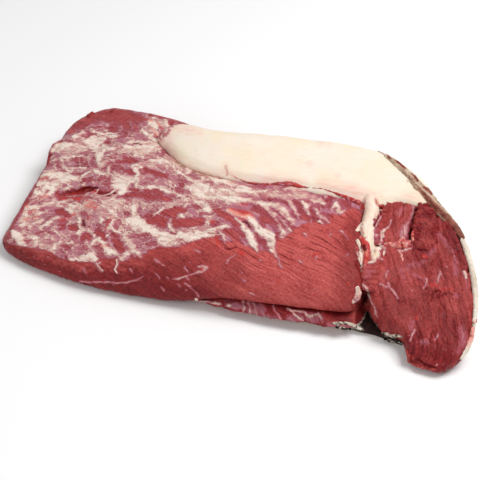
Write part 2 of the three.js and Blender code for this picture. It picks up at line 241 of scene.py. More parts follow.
# thick patches of fat on the silverskin
CREAM = (
    # back left corner and the patches that follow from it
    ((53, 150, 3), (58, 148, 5), (64, 146, 3.5), (75, 145, 1.2), (85, 148, 1)),
    ((88, 143, 3.5), (93, 141, 4.5), (98, 141, 4.5), (105, 139, 2)),
    ((92, 146, 3.5), (97, 150, 3.5), (102, 151, 3), (98, 157, 2.2), (99, 164, 2.2)),
    ((104, 147, 2), (110, 150, 1.2), (122, 146, 1), (130, 148, 1.3), (148, 147, 1.3), (160, 150, 1)),
    ((74, 137, 1.2), (80, 135, 1.6), (83, 132, 1.3), (86, 136, 1)),
    ((92, 131, 1.5), (97, 133, 1.5), (103, 135, 1.6), (110, 137, 1.4), (119, 136, 1)),
    ((102, 126, 0.7), (105, 131, 0.7), (108, 134, 0.8), (117, 135, 0.9),
     (118, 130, 0.6), (112, 126, 0.6), (106, 126, 0.6)),
    ((57, 160, 1), (64, 158, 1), (72, 157, 0.9), (82, 156, 0.8), (90, 159, 1)),
    ((62, 161, 1), (64, 166, 1), (68, 172, 1.2)),
    # left margin
    ((42, 178, 2.6), (48, 176, 3.6), (56, 176, 3), (64, 175, 2.2), (71, 172, 1.3)),
    ((38, 185, 2.5), (44, 184, 2), (52, 184, 2.6), (60, 182, 3), (68, 178, 3.2), (75, 178, 2.2)),
    ((42, 187, 1.8), (50, 188, 2.6), (54, 191, 2.6), (47, 196, 2.2), (40, 195, 1.8), (33, 192, 1.6)),
    ((63, 190, 1), (68, 189, 1.4), (71, 187, 1)),
    ((25, 208, 1.8), (32, 208, 1.8), (40, 207, 1.4), (46, 205, 1.4), (53, 202, 1.4)),
    ((27, 216, 1.8), (26, 211, 1.3)),
    ((37, 215, 1), (42, 213, 1.2), (48, 211, 1)),
    ((40, 228, 0.8), (46, 225, 1.5), (50, 222, 1.8), (53, 219, 1), (60, 218, 0.7)),
    ((33, 224, 0.9), (40, 222, 1.1), (43, 220, 1)),
    ((20, 226, 0.8), (25, 224, 0.8)),
    # front left corner
    ((13, 233, 2), (16, 235, 4), (19, 238, 4.5), (21, 242, 3.5), (26, 245, 1.4)),
    ((24, 232, 1.4), (28, 235, 1.2)),
    ((30, 237, 1.5), (33, 237, 1.8), (37, 237, 0.8)),
    ((48, 251.5, 0.8), (52, 250, 1.2), (54.5, 247, 1.2), (55, 245, 0.8)),
    ((60.5, 242, 1.2),),
    # between the gash and the front
    ((57, 203, 1), (63, 203, 1.3), (70, 205, 1.3), (75, 208, 1)),
    ((66, 209, 1.5), (71, 212, 2.2), (74, 214, 1.4)),
    ((77, 213, 1.2), (79, 219, 1.3), (80, 228, 1.3), (78, 233, 1), (81, 236, 1.3), (79, 239, 1.2)),
    ((82, 230, 1.5), (87, 231, 1.8), (91, 233, 1.5), (94, 236, 1.3)),
    ((107, 232, 1.5), (109, 228, 2), (111, 225, 2.5), (113, 221, 1.5)),
    ((100, 217, 1.5), (103, 220, 1.5), (101, 223, 1.2)),
    ((92, 245, 1), (93, 242, 0.9), (96, 240, 0.8), (99.5, 238.5, 0.9)),
    ((99, 240, 1), (102, 243, 2), (105, 248, 2.6), (109, 252, 2.6),
     (114, 252, 2.8), (118, 256, 2.6), (122, 260, 1.4)),
    ((103, 241, 0.7), (106, 238, 0.8), (108, 235, 0.8)),
    ((71, 260, 1), (76, 259, 1.8), (82, 259, 2.4), (88, 257, 3.2), (93, 254, 2.4), (94, 259, 3)),
    ((94, 262, 0.8), (97, 266, 0.8), (102, 271, 0.7)),
    ((98, 264, 0.9), (100, 262, 0.8)),
    ((117, 258, 0.9), (118, 262, 0.8), (116.5, 267, 0.8), (115, 270, 0.8), (117, 273, 0.7)),
    # middle of the top
    ((113, 180, 2.4), (118, 181, 3.8), (124, 184, 3.8), (130, 181, 3.2), (138, 179, 1.4)),
    ((114, 172, 1.5), (118, 176, 2.3), (124, 178, 2.5), (131, 180, 2)),
    ((109, 168, 1.4), (109, 173, 1.5), (113, 176, 1.5)),
    ((100, 166, 2), (103, 163, 2), (107, 161, 1.6)),
    ((93, 169, 1), (97, 172, 1.8), (102, 174, 1.6), (108, 176, 1.3)),
    ((82, 177, 0.8), (86, 174, 0.9), (90, 171, 0.8)),
    ((112, 186, 1.5), (118, 187, 2.6), (124, 190, 2.5), (120, 194, 2)),
    ((134, 166, 0.9), (137, 165, 0.9), (141, 167, 1), (143, 170, 0.9)),
    ((135, 170, 1.8), (137, 173, 2), (136, 176, 1.4)),
    ((130, 156, 1), (137, 156, 1.5), (142, 158, 1.2), (149, 158, 1)),
    ((142, 152, 2), (147, 152, 2.8), (150, 151, 1.8)),
    ((128, 143, 1.2), (135, 141.5, 1.2), (142, 142, 1), (150, 143, 1), (158, 145, 1)),
    ((138, 181, 1.2), (136, 186, 1.6), (142, 188, 1.8), (152, 187, 1.9),
     (160, 189, 1.3), (168, 192, 1.6), (180, 196, 1.5)),
    ((134, 207, 2.4), (135, 214, 3.2), (137, 220, 3.8)),
    ((129, 221, 3), (136, 223, 4.5), (143, 224, 4.6), (147, 226, 3.4)),
    ((128, 225, 2.6), (134, 228, 3.4), (142, 229, 3), (150, 231, 2)),
    ((153, 232, 3), (158, 235, 4), (163, 238, 4.5), (169, 238, 4.5), (175, 237, 3)),
    ((160, 243, 3.2), (166, 245, 2.6), (173, 244, 2.2)),
    ((175, 236, 2.5), (181, 234, 2.5), (186, 238, 2.8), (182, 242, 1.8), (176, 244, 1.6)),
    ((188, 239, 2), (197, 237, 1.5), (206, 236, 1.3), (214, 235.5, 1)),
    ((168, 223, 1), (170, 228, 1.2), (174, 232, 1.2)),
    ((181, 216, 2), (183, 218, 1.7)),
    ((163, 209, 1.2), (158, 213, 1), (154, 217, 0.9)),
    ((126, 238, 2), (129, 242, 2.6), (131, 246, 3), (134, 251, 2.8), (138, 254, 2.2), (140, 257, 1.2)),
    ((128, 253, 2), (124, 256, 1.4), (122, 260, 1)),
    ((128, 235, 1), (120, 233, 1), (112, 229, 1.5)),
    ((128, 232, 0.9), (134, 233.5, 0.9), (141, 233, 0.9), (146, 230, 1)),
    # below the loaf of hard fat
    ((147, 124, 1), (151, 124, 3), (155, 125, 3.2), (157, 127, 2)),
    ((145, 117, 1), (150, 118, 1.4), (156, 119, 1.4), (163, 118, 1.8)),
    ((165, 121, 2), (168, 125, 2.8), (170, 131, 2.4), (168, 136, 2.4)),
    ((152, 131, 1.2), (156, 134, 1.3), (160, 138, 1.3), (161, 141, 1)),
    ((142, 130, 1), (146, 134, 1.5), (152, 138, 1.5), (158, 143, 1.2)),
    ((176, 160, 1), (180, 163, 1.5), (185, 166, 2.2), (190, 171, 2.4), (186, 174, 1.8)),
    ((150, 160, 1.3), (157, 161, 1.4), (166, 162, 1.4)),
    ((170, 165, 1.2), (175, 170, 1.5), (182, 175, 1.6),
     (190, 180, 2.2), (200, 185, 2.8), (208, 187, 2.6)),
    ((203, 178, 2.2), (212, 180, 2.6), (224, 182, 2.2), (236, 186, 1.6), (250, 190, 1.4)),
    ((186, 187, 1.6), (194, 191, 2.6), (201, 195, 3.4),
     (210, 196, 3), (222, 198, 3), (236, 200, 2.6), (250, 200, 2)),
    ((206, 191, 2), (220, 190, 1.8), (234, 190, 1.6), (246, 192, 1.4), (256, 193, 1.8), (268, 191, 1.2)),
    ((196, 202, 2), (202, 205, 3), (207, 209, 3), (210, 213, 1.6)),
    ((184, 208, 0.9), (186, 205, 1), (190, 205, 0.8)),
    ((208, 230, 1), (213, 230, 1.2), (219, 228, 1.2), (224, 226, 1.2), (229, 228, 1)),
    ((222, 234, 1), (224, 238, 0.8), (225, 243, 0.7)),
    ((288, 189, 1.4), (297, 189, 1.9), (307, 189, 2.2), (317, 188.5, 2), (325, 191, 1.3)),
    ((274, 192, 0.8), (282, 193, 1)),
)
# strands of fat that run down to the cut face
STRANDS = (
    ((228, 211, 2), (236, 214, 2.4), (243, 216, 2.4), (250, 218, 2)),
    ((236, 219, 2), (241, 225, 2.6), (247, 232, 3.6), (251, 239, 4), (255, 246, 3), (257, 252, 0.8)),
    ((250, 218, 2.4), (255, 224, 3), (260, 231, 3.4), (266, 234, 4),
     (271, 238, 4.6), (271, 245, 4.6), (273, 251, 2.6), (277, 257, 1.2)),
    ((276, 256, 1.4), (278, 258, 1), (280, 265, 0.6), (282, 268, 0.5)),
)
# stripes of fat at the right
STRIPES = (
    ((250, 202, 2), (262, 203.5, 2.4), (273, 205.5, 2.6), (281, 208, 2.4), (286, 213, 2), (289, 217, 1)),
    ((262, 206, 0.9), (267, 210, 1), (271, 215, 1.2), (276, 221, 1), (280, 228, 1)),
    ((266, 207, 0.6), (272, 213, 0.7), (278, 220, 0.8), (281, 226, 0.8)),
    ((282, 230, 1.4), (283.5, 234, 3), (283, 237.5, 2)),
    ((274, 213, 0.9), (280, 217, 1.2), (285, 223, 1.5), (289, 229, 1.2), (291, 231.5, 0.8)),
    ((280, 212, 0.7), (285, 217, 0.8), (288, 221, 0.8)),
    ((287, 219, 1), (292, 220.5, 2.4), (292, 224, 1.8)),
    ((288, 201, 0.8), (291, 204, 1.4), (293.5, 209, 1.5), (296, 214, 0.8), (299, 219, 0.5)),
    ((302, 202, 1.4), (305.5, 205, 2.2), (307, 210, 1.8),
     (309, 215, 0.9), (311, 221, 0.7), (312, 225.5, 0.6)),
    ((311, 199, 1.6), (314, 202.5, 2), (320, 200, 2.4), (323.5, 204, 2)),
    ((315, 209, 0.8), (318.5, 214, 1.4), (321, 217, 1.6), (325, 219, 1.3), (329, 222.5, 0.8)),
    ((320, 222, 1.8), (323, 224, 0.9)),
    ((332, 209, 0.9), (336, 203, 1.8), (338.5, 208, 2.4),
     (338, 212, 2.2), (342, 213.5, 1.4), (345, 211, 0.9)),
    ((327, 193, 0.9), (333, 195.5, 1.2), (339, 198, 1), (344, 199.5, 0.6)),
    ((326, 197.5, 1.7),),
    ((304.5, 234, 1.6), (306, 236, 1.3)),
    ((283, 189.5, 1.2), (292, 188.8, 1.8), (305, 188.6, 2), (317, 188.4, 1.8), (325, 190.5, 1)),
    ((268, 192.5, 0.7), (282, 192.5, 0.8)),
    ((297, 214, 0.5), (303, 215.5, 0.5), (308, 218, 0.5)),
)
# fine lines of fat that join the patches
LINES = (
    ((46, 163, 0.5), (53, 161, 0.5), (60, 159, 0.5), (67, 157.5, 0.5), (78, 157, 0.5), (88, 158, 0.5)),
    ((44, 172, 0.5), (52, 171, 0.5), (60, 170, 0.5), (68, 168.5, 0.5), (79, 168, 0.5), (90, 169, 0.4)),
    ((53, 161, 0.4), (55, 166, 0.4), (57, 171, 0.4)), ((60, 159, 0.4), (62, 165, 0.5), (64, 170, 0.4)),
    ((67, 157, 0.5), (68, 163, 0.4), (70, 169, 0.4)), ((78, 157, 0.4), (79.5, 163, 0.5), (81, 168, 0.4)),
    ((88, 158, 0.4), (89, 164, 0.4), (92, 170, 0.4)), ((67, 148, 0.4), (69, 153, 0.5), (70, 157, 0.4)),
    ((78, 149, 0.4), (79, 153, 0.4), (81, 157, 0.4)), ((87, 150, 0.4), (89, 155, 0.4)),
    ((60, 151, 0.5), (70, 149.5, 0.5), (80, 149.5, 0.5), (90, 152, 0.4)),
    ((104, 156, 0.4), (112, 155, 0.5), (122, 156, 0.4)),
    ((110, 149, 0.4), (112, 155, 0.4), (114, 161, 0.4)),
    ((120, 149, 0.4), (122, 155, 0.4), (123, 160, 0.4)), ((80, 180, 0.4), (84, 186, 0.4)),
    ((90, 176, 0.4), (94, 183, 0.5)),
    ((44, 232, 0.4), (52, 238, 0.4), (60, 246, 0.4), (68, 253, 0.4)),
    ((52, 230, 0.4), (60, 236, 0.4), (68, 244, 0.4), (75, 251, 0.4)),
    ((60, 232, 0.3), (68, 239, 0.4), (77, 247, 0.3)), ((86, 246, 0.4), (94, 251, 0.4)),
    ((100, 205, 0.4), (108, 210, 0.5), (116, 215, 0.4)),
    ((104, 202, 0.4), (113, 207, 0.4), (122, 213, 0.4)), ((146, 204, 0.4), (153, 209, 0.4)),
    ((150, 201, 0.4), (158, 206, 0.4)),
)
# a band of thin tan fat below the loaf
TAN_BAND = (((255, 195, 2), (270, 195, 3), (290, 195.5, 3), (305, 197, 2.6), (313, 198, 1.6)),)
# bands between the stripes where no film lies
BANDS = (
    ((255, 208, 2.4), (262, 211, 3.6), (268, 218, 3.6),
     (274, 226, 3.4), (277, 234, 2.4), (277.5, 242, 1.4)),
    ((270, 199.5, 1.2), (279, 200.5, 1.8), (287, 203.5, 1.6), (289, 208, 1.4)),
    ((271, 208.5, 1.2), (277, 212, 1.3), (283, 219.5, 1.2)),
    ((294, 201, 1.6), (298, 205, 2.6), (301, 211, 2.8), (305, 216, 1.8)),
    ((310, 208, 1.6), (313, 214, 2.4), (315, 220, 2.4)),
    ((329, 200, 2.4), (331, 206, 2.4)),
    ((346, 203, 2.6), (350, 206, 2)),
    ((317, 193, 1.6), (311, 194, 1.4)),
    ((245, 229, 1), (250, 227, 0.9), (257, 236, 1), (261, 243, 0.9)),
    ((235, 225, 1.6), (241, 233, 1.6), (246, 241, 1.4)),
    ((292, 213, 1.6), (296, 217, 1.2)),
)
# marbling in the cut face
VEINS = (
    ((80, 281.5, 0.4), (95, 282, 0.5), (105, 282, 0.7), (115, 283, 0.8),
     (125, 282.5, 0.7), (134, 281, 0.6), (143, 276, 0.3)),
    ((155, 260, 0.8), (160, 263, 0.8), (164, 266, 0.6)),
    ((199, 267, 1.2), (203, 267, 2.2), (207, 268, 1.8), (203, 271, 1.4), (197, 273, 1.3)),
    ((185, 266, 0.6), (185, 269, 0.6), (188, 272, 0.6)),
    ((173, 278, 0.8), (178, 279, 0.9), (184, 277, 0.8), (189, 275, 0.8), (196, 273, 0.8)),
    ((186, 277, 0.7), (189, 280, 0.7)),
    ((167, 277, 0.7), (169, 279, 0.6)),
    ((156, 274, 0.6), (159, 279, 0.6)),
    ((161, 287, 0.5), (165, 291, 0.6)),
    ((185, 283, 0.5), (193, 289, 0.5), (199, 297, 0.5)),
    ((178, 284, 0.5), (180, 287, 0.5)),
    ((195, 250, 0.7), (198, 251, 0.7), (201, 253, 0.6)),
    ((235, 255, 0.5), (229, 259, 0.7), (226, 263, 0.6)),
    ((242, 279, 0.6), (245, 281.5, 0.8)),
    ((251, 293, 0.7), (254, 295, 0.6)),
    ((298, 261, 0.8), (302, 262.5, 0.8)),
    ((317, 256, 0.9), (316, 259, 0.8)),
    ((339, 231, 0.7), (342, 231, 1), (344, 234, 0.7), (346, 237, 0.5)),
    ((331, 231, 0.5), (330, 236, 0.5)),
    ((83, 268, 0.6), (86, 273, 0.5)),
    ((130, 268, 0.6), (133, 272, 0.5)),
    ((260, 261, 0.7),),
    ((267, 292, 0.7),),
    ((347, 255, 0.9),),
)
# broad thin films of fat
FILM = (
    ((100, 200, 2), (120, 201, 3), (140, 203, 3.5),
     (160, 205, 3.5), (180, 202, 3), (200, 200, 4), (225, 203, 3)),
    ((205, 205, 4), (209, 214, 4), (206, 224, 4), (203, 232, 3)),
    ((120, 150, 5), (135, 152, 5), (150, 156, 5), (165, 163, 5), (178, 170, 4)),
    ((45, 200, 5), (60, 205, 4), (78, 204, 4), (95, 203, 4), (115, 202, 6), (130, 201, 5)),
    ((150, 122, 7), (160, 130, 9), (165, 138, 6)),
    ((40, 244, 5), (48, 241, 4)),
    ((80, 147, 4), (70, 150, 3)),
    ((60, 178, 6), (44, 184, 7), (40, 195, 5)),
    ((128, 232, 6), (118, 222, 4)),
    ((195, 186, 7), (215, 190, 8), (235, 192, 7), (252, 194, 5), (262, 194, 3)),
    ((190, 232, 5), (200, 232, 5)),
    ((25, 222, 6), (35, 214, 5)),
)
# lean that the silverskin leaves bare
MEAT = (
    ((57, 193, 2.6), (60, 199, 2.6), (66, 195, 2.6), (74, 192, 1.6)),
    ((49, 152, 1), (44, 165, 1), (38, 178, 1.2), (32, 192, 1.2),
     (24, 206, 1.2), (16, 220, 1.4), (9, 228, 1.8), (5, 238, 2)),
    ((150, 115, 1.6), (165, 117, 1.6), (176, 121, 2), (186, 123, 2), (196, 126, 1.4)),
    ((170, 123, 2), (174, 127.5, 2.4), (178, 131, 1.2)), ((111, 128, 2), (116, 130, 2)),
    ((122, 121, 3), (128, 127, 2.4)),
    ((117, 162, 1), (122, 162, 1.8), (129, 161, 2.2), (137, 161, 1)),
    ((106, 142, 1.6), (109, 142, 1.8)),
    ((125, 171, 1), (131, 173, 1.8), (135, 174, 1.2)),
    ((145, 169, 1.4), (152, 172, 1.8), (160, 175, 2), (168, 178, 1.6)),
    ((118, 197, 1), (125, 196, 1.5), (133, 194, 2), (140, 196, 1.8), (148, 197.5, 1.3), (157, 198, 1)),
    ((146, 191, 1.8), (149, 191.5, 1.8)),
    ((155, 191, 1.8), (159, 192, 2), (162, 194, 1.4)),
    ((161, 198, 1.3), (166, 199, 2), (170, 200, 1.5)),
    ((171, 195, 1), (176, 196, 1)),
    ((131, 190, 1.5), (136, 191, 1.5)),
    ((57, 212, 2), (62, 212, 3.5), (67, 215, 2.5)),
    ((60, 229, 1.4), (64, 227, 1.8)),
    ((70, 228, 1.6), (76, 229, 2.2)),
    ((83, 238, 2), (87, 236, 3), (90, 239, 2)),
    ((97, 232, 2), (101, 235, 2.4), (106, 240, 1.6)),
    ((113, 240, 2), (117, 243, 4), (120, 247, 4), (123, 251, 2.3)),
    ((112, 234, 1.4), (117, 236, 2)),
    ((150, 222, 3), (157, 220, 4), (164, 222, 4.3)),
    ((165, 213, 3.6), (172, 213, 4.4), (178, 210, 3), (184, 210, 2.3)),
    ((176, 223, 3.6), (185, 223, 4.8), (193, 222, 4.4), (201, 221, 3.6)),
    ((171, 233, 1), (175, 234, 1)),
    ((216, 211, 2), (220, 213, 3.4), (225, 216, 3), (232, 220, 2), (240, 226, 1.2)),
    ((226, 231, 3), (232, 234, 4), (237, 240, 3.4)),
    ((262, 219, 2), (268, 221, 2.4)),
    ((303, 217, 2), (308, 219, 2)),
)
# dried lean along the back left edge
DRY_EDGE = (
    ((58, 132, 4), (72, 125, 4), (85, 120, 5), (100, 115, 5),
     (115, 115, 7), (130, 116, 6), (142, 119, 4)),
)
# blood and raw spots
BLOOD = (
    ((64, 199, 1.4), (70, 196, 1.4), (78, 192, 1.8), (86, 189, 2.4), (92, 190, 2.6), (97, 190, 1.4)),
    ((72, 198, 1.2), (77, 198, 1.6), (79, 201, 1), (84, 194, 1)),
    ((86, 206, 1), (91, 207, 1.8), (96, 208.5, 1.8)),
    ((69, 218, 1), (72, 216, 1.2), (76, 214, 1.2)),
    ((26, 206, 1), (28, 206, 1)),
    ((22, 212, 1.2),),
    ((150, 129, 0.6), (155, 134, 0.8), (160, 140, 0.6)),
    ((157, 123, 0.7), (162, 129, 0.9), (164, 134, 0.6)),
    ((145, 120, 0.7), (152, 121, 0.9)), ((86, 200, 0.9), (92, 203, 1.1), (98, 206, 0.8)),
    ((60, 221, 0.8), (66, 219, 1)), ((33, 219, 0.8), (38, 217, 0.8)), ((28, 214, 0.8), (34, 211, 0.9)),
    ((40, 199, 0.7), (48, 196, 0.8)),
    ((87, 221, 0.6), (91, 216, 0.8)), ((106, 229, 0.7), (109, 222, 0.9), (112, 218, 0.7)),
    ((99, 243, 0.6), (103, 248, 0.8)), ((41, 180, 0.7), (47, 178, 0.7)),
    ((25, 220, 1.2), (28, 219, 1)),
    ((7, 234, 1),),
    ((103, 137, 1),),
    ((134, 126, 1.2), (136, 128, 0.8)),
    ((71, 132, 1.4), (74, 132, 1)),
    ((103, 236.5, 1),),
    ((106, 247, 1.2),),
    ((229, 210, 2), (236, 212.5, 3), (243, 214, 3.4), (250, 214.5, 2.4), (253, 218, 1.2)),
    ((240, 204, 0.8), (247, 205, 1)),
    ((240, 219, 1), (246, 218, 1)),
    ((211, 222, 1), (214, 222, 1.4)),
    ((216, 237, 1), (218, 240, 1.2), (218, 246, 0.8)),
    ((240, 252, 1.8), (243, 254, 2)),
    ((274, 253, 1.2),),
    ((313, 256, 0.9), (316, 254.5, 1.2), (319, 254, 0.8)),
    ((202, 270, 1.2),),
    ((277, 280, 0.8), (278, 283, 0.7)),
    ((348, 284, 1.3),),
    ((265, 196.5, 1.1),),
    ((197, 299, 1.4),),
)
# dark cuts and holes, with painted shade in the gash, in a fold and under a flap of fat
DARK_AND_SHADE = (
    ((80, 194, 0.2), (86, 189.5, 0.4), (92, 188, 0.5), (97, 190, 0.4),
     (104, 192, 0.9), (110, 192, 0.7), (117, 193, 0.4)),
    ((97, 192, 0.8), (104, 195, 0.8), (110, 195, 0.8)),
    ((133, 144, 0.4), (137, 143.6, 0.8), (141, 145, 0.4)),
    ((83, 221, 1.7), (84, 225, 1.5)),
    ((209, 233.6, 0.3), (214, 234, 0.4), (219, 233, 0.3)),
    ((244, 221, 1.2), (247, 223, 1.5), (250, 226, 1)),
    ((268, 240.5, 0.6), (270, 241.5, 0.8), (271.5, 242.5, 0.5)),
    ((225, 248, 0.8), (229, 248.5, 1), (236, 247, 0.6)),
    ((313, 256, 0.7),),
)

# splits between the bundles of the cut face, pressed in and painted dark as their shade
FURROWS = (
    ((300, 225, 0.5), (308, 231, 0.6), (318, 237, 0.6), (328, 243, 0.4)),
    ((286, 236, 0.6), (293, 240, 0.8), (303, 246, 0.5)),
    ((291, 242, 0.5), (300, 248, 0.5), (307, 249, 0.8), (313, 249.5, 0.5)),
    ((328, 250, 0.5), (338, 256, 0.6), (347, 265, 0.5)),
    ((333, 260, 0.5), (342, 266, 0.6), (351, 272, 0.6)),
    ((322, 258, 0.5), (332, 264, 0.5), (341, 273, 0.4)),
    ((342, 242, 0.6), (346, 247, 0.6)),
    ((341, 236, 0.5), (350, 247, 0.5)),
)
# the knife's gash at the left of the top
GASH = (
    ((66, 198, 0.5), (76, 194, 1.2), (84, 190, 2), (92, 189, 2.4),
     (99, 191, 2), (108, 192, 1.5), (116, 193, 0.5)),
)
# painted shade in the deep seam between flat and lobe
CLEFT_SHADE = (
    ((358, 302, 2), (361, 310, 5), (364, 320, 8), (367, 329, 8), (374, 335, 5)),
    ((356, 262, 1), (364, 282, 1.6), (363, 300, 2)),
)
# which way the fibres run
FLAT_GRAIN = (
    (40, 175, -10), (90, 165, -4), (60, 215, -14), (110, 145, 4), (105, 205, -6), (150, 175, 6),
    (60, 245, 12), (115, 235, 38), (150, 220, 30), (160, 245, 10), (190, 220, 28), (190, 190, 8),
    (240, 195, 7), (300, 193, 4), (235, 225, 42), (265, 215, 48), (300, 210, 58), (335, 205, 62),
    (80, 272, 16), (120, 280, 14), (160, 275, 30), (190, 270, 36), (200, 292, 44), (240, 270, 40),
    (300, 240, 30), (290, 285, 44), (340, 240, 50), (340, 285, 52), (100, 120, 18), (135, 122, 52),
)
# bright spots at the left end of the cut face
LEFT_BRIGHTER = (((42, 256, 5), (60, 263, 5), (82, 269, 4)),)
# draws noise out five times along the fibres and in depth
ALONG = (0.2, 1, 0.2)

flat = meshed("flat_lean", "flat_muscle", 2.7 * MM)
fibre = along_grain(flat, FLAT_GRAIN)
seen, place = viewed(flat)
edge = np.interp(place[:, 0], *np.array(SKIN_EDGE, float).T)
skin = step(edge - place[:, 1], -0.8, 0.8) * (1 - step(place[:, 0], 366, 370))
skin = np.where(seen, skin, step(facing(flat)[:, 2], 0.5, 0.8))
film_free = marks(flat, BANDS, 1.2)
thick = 0.72 + 0.45 * rough(spots(flat), 16 * MM, 9)
# what lies on the flat, how thick it is at most and how softly it ends
films = (
    (STRANDS, 0.86, 1.2), (STRIPES, 0.6, 0.9), (LINES, 0.62, 0.7), (TAN_BAND, 0.5, 3),
    (CREAM, thick, 1.3), (FILM, 0.36, 6), (VEINS, 0.66, 0.7),
)
cover = np.maximum.reduce([share * marks(flat, strokes, soft) for strokes, share, soft in films])
bare = np.maximum(marks(flat, MEAT, 1.6), marks(flat, DRY_EDGE, 4))
cover *= 1 - 0.9 * bare
skin *= 1 - 0.55 * bare
web = 1 - 0.85 * step(place[:, 0] + 0.3 * (place[:, 1] - 200), 222, 245)
furrow = marks(flat, FURROWS, 0.9)
# painted shade: cuts, holes, a fold, shadows under flaps and the deep seam all go into the dark layer
dark = np.maximum(marks(flat, DARK_AND_SHADE, 1), marks(flat, CLEFT_SHADE, 2))
blood = marks(flat, BLOOD, 1.6)
gash = marks(flat, GASH, 2.5)
cover = cover * (1 - gash) * (1 - 0.3 * blood)
skin *= 1 - 0.8 * gash
blood = np.maximum(blood, 0.6 * gash)

# the cut face's bloom, with painted light along the skin and to the right and painted shade low down and
# by the seam
low = step(spots(flat)[:, 2], 34 * MM, 6 * MM)
bloom = 0.1 + 0.9 * step(place[:, 0] + 0.4 * (270 - place[:, 1]), 165, 290)
bloom += 0.45 * step(edge - place[:, 1], -16, -3) + 0.15 * bare + 0.4 * marks(flat, LEFT_BRIGHTER, 5)
bloom += 0.25 * rough(spots(flat), 25 * MM, 5) - 0.6 * low - 0.62 * step(place[:, 0], 322, 356)
bloom = np.clip(bloom, 0, 1)

# its left end is torn to a pulp, painted darker low down as shade
pulpy = step(place[:, 0], 190, 110) * step(place[:, 1] - edge, 0, 3)
pulp = rough(spots(flat), 3.5 * MM, 6) + 0.5 * rough(spots(flat), 8 * MM, 8)
bloom = np.clip(bloom + 0.45 * pulpy * pulp - 0.25 * pulpy * low, 0, 1)
relief = 0.8 * MM * pulpy * rough(spots(flat), 4.5 * MM, 7) + 0.5 * MM * rough(spots(flat), 11 * MM)
press(flat, relief + 0.3 * MM * rough(fibre * ALONG, 4 * MM, 1))
relief = 1.3 * MM * dark + 0.9 * MM * furrow + 2.6 * MM * marks(flat, GASH, 1.5)
press(flat, relief - 0.8 * MM * cover - 0.5 * MM * skin - 0.4 * MM * blood)

split = bloom * (1 - 0.85 * step(place[:, 1] + 0.1 * (place[:, 0] - 320), 258, 280))
keep(flat, fibre=fibre, skin=skin, cover=cover, web=web, bloom=bloom, split=split, blood=blood)
# painted shade: half of the furrows' strength also goes into the dark layer
keep(flat, bare=np.maximum(bare, 0.8 * film_free), dark=np.maximum(dark, 0.5 * furrow))


def linear(code):
    """The linear colour of an sRGB hex code."""
    parts = [int(code[i : i + 2], 16) / 255 for i in (1, 3, 5)]
    return (*((c / 12.92 if c <= 0.04045 else ((c + 0.055) / 1.055) ** 2.4) for c in parts), 1)


def add(tree, kind, *values, give=0, **named):
    """Adds a node. Values go to its inputs in order. Of the named ones, lower-case names are its
    settings and the others its inputs. Returns one of its outputs."""
    node = tree.nodes.new("ShaderNode" + kind)
    for name in (n for n in named if n[0].islower()):
        setattr(node, name, named[name])
    pairs = list(zip((s for s in node.inputs if s.enabled), values))
    pairs += [(node.inputs[n.replace("_", " ")], v) for n, v in named.items() if n[0].isupper()]
    for socket, value in pairs:
        if isinstance(value, bpy.types.NodeSocket):
            tree.links.new(value, socket)
        else:
            socket.default_value = value
    return [s for s in node.outputs if s.enabled][give]


# Fresh beef lean: fine moist fibres, cut or bare. Silverskin and fat lie on it in films of every
# thickness, so it goes from red over mauve and pink to cream as they thicken.
lean = bpy.data.materials.new("fresh_lean_under_silverskin")
lean.use_nodes = True
tree = lean.node_tree
shader = tree.nodes["Principled BSDF"]
fibre = add(tree, "Attribute", attribute_name="fibre", give=1)
skin, cover, bare, blood, dark, bloom, web, split = (
    add(tree, "Attribute", attribute_name=name, give=2)
    for name in ("skin", "cover", "bare", "blood", "dark", "bloom", "web", "split")
)
# A Mapping's scale is cells per metre along the fibres, across them and in depth. Fibres lie 1.6 mm
# apart, coarser than real ones, so that they show, and bundles of them 4 mm apart. Patches are 8 by
# 4 mm, torn fibres have a grain of 2.4 mm, and the cloud comes and goes over 30 mm.
drawn = add(tree, "Mapping", fibre, Scale=(60, 620, 120))
fine = add(tree, "TexNoise", drawn, Scale=1.0, Detail=4.0, Roughness=0.65)
bundles = add(tree, "TexNoise", add(tree, "Mapping", fibre, Scale=(18, 240, 40)), Scale=1.0, Detail=3.0)
drawn = add(tree, "Mapping", fibre, Scale=(120, 260, 180))
patches = add(tree, "TexNoise", drawn, Scale=1.0, Detail=4.0, Roughness=0.65)
torn = add(tree, "TexNoise", fibre, Scale=420.0, Detail=3.0)
cloud = add(tree, "TexNoise", fibre, Scale=32.0, Detail=3.0)

# the fat's web runs round bundles 14 mm long and 8 mm wide, with a finer net of 3 mm between
warp = add(tree, "TexNoise", fibre, Scale=110.0, Detail=2.0, give=1)
warp = add(tree, "VectorMath", warp, (0.5, 0.5, 0.5), operation="SUBTRACT")
warp = add(tree, "VectorMath", warp, Scale=1.3, operation="SCALE")
cells = add(tree, "VectorMath", add(tree, "Mapping", fibre, Scale=(70, 125, 90)), warp, operation="ADD")
strand = add(tree, "TexVoronoi", cells, feature="DISTANCE_TO_EDGE", Scale=1.0)
width = add(tree, "MapRange", cloud, 0.35, 0.65, 0.02, 0.1)
strand = add(tree, "MapRange", strand, 0.0, width, 1.0, 0.0)
net = add(tree, "VectorMath", add(tree, "Mapping", fibre, Scale=(60, 330, 200)), warp, operation="ADD")
net = add(tree, "TexVoronoi", net, feature="DISTANCE_TO_EDGE", Scale=1.0)
net = add(tree, "MapRange", net, 0.0, 0.09, 1.0, 0.0)
net = add(tree, "Math", net, add(tree, "MapRange", cloud, 0.4, 0.6, 1.0, 0.2), operation="MULTIPLY")
net = add(tree, "Math", net, web, operation="MULTIPLY")
strand = add(tree, "Math", strand, web, operation="MULTIPLY")
bundle = add(tree, "SeparateColor", add(tree, "TexVoronoi", cells, feature="F1", Scale=1.0, give=1))

# how thick the film is
patched = add(tree, "MapRange", add(tree, "Math", patches, fine, operation="ADD"), 0.8, 1.1, 0.68, 1.08)
film = add(tree, "Math", cover, patched, operation="MULTIPLY")
film = add(tree, "Math", film, add(tree, "Math", skin, 0.25, operation="MULTIPLY"), operation="ADD")
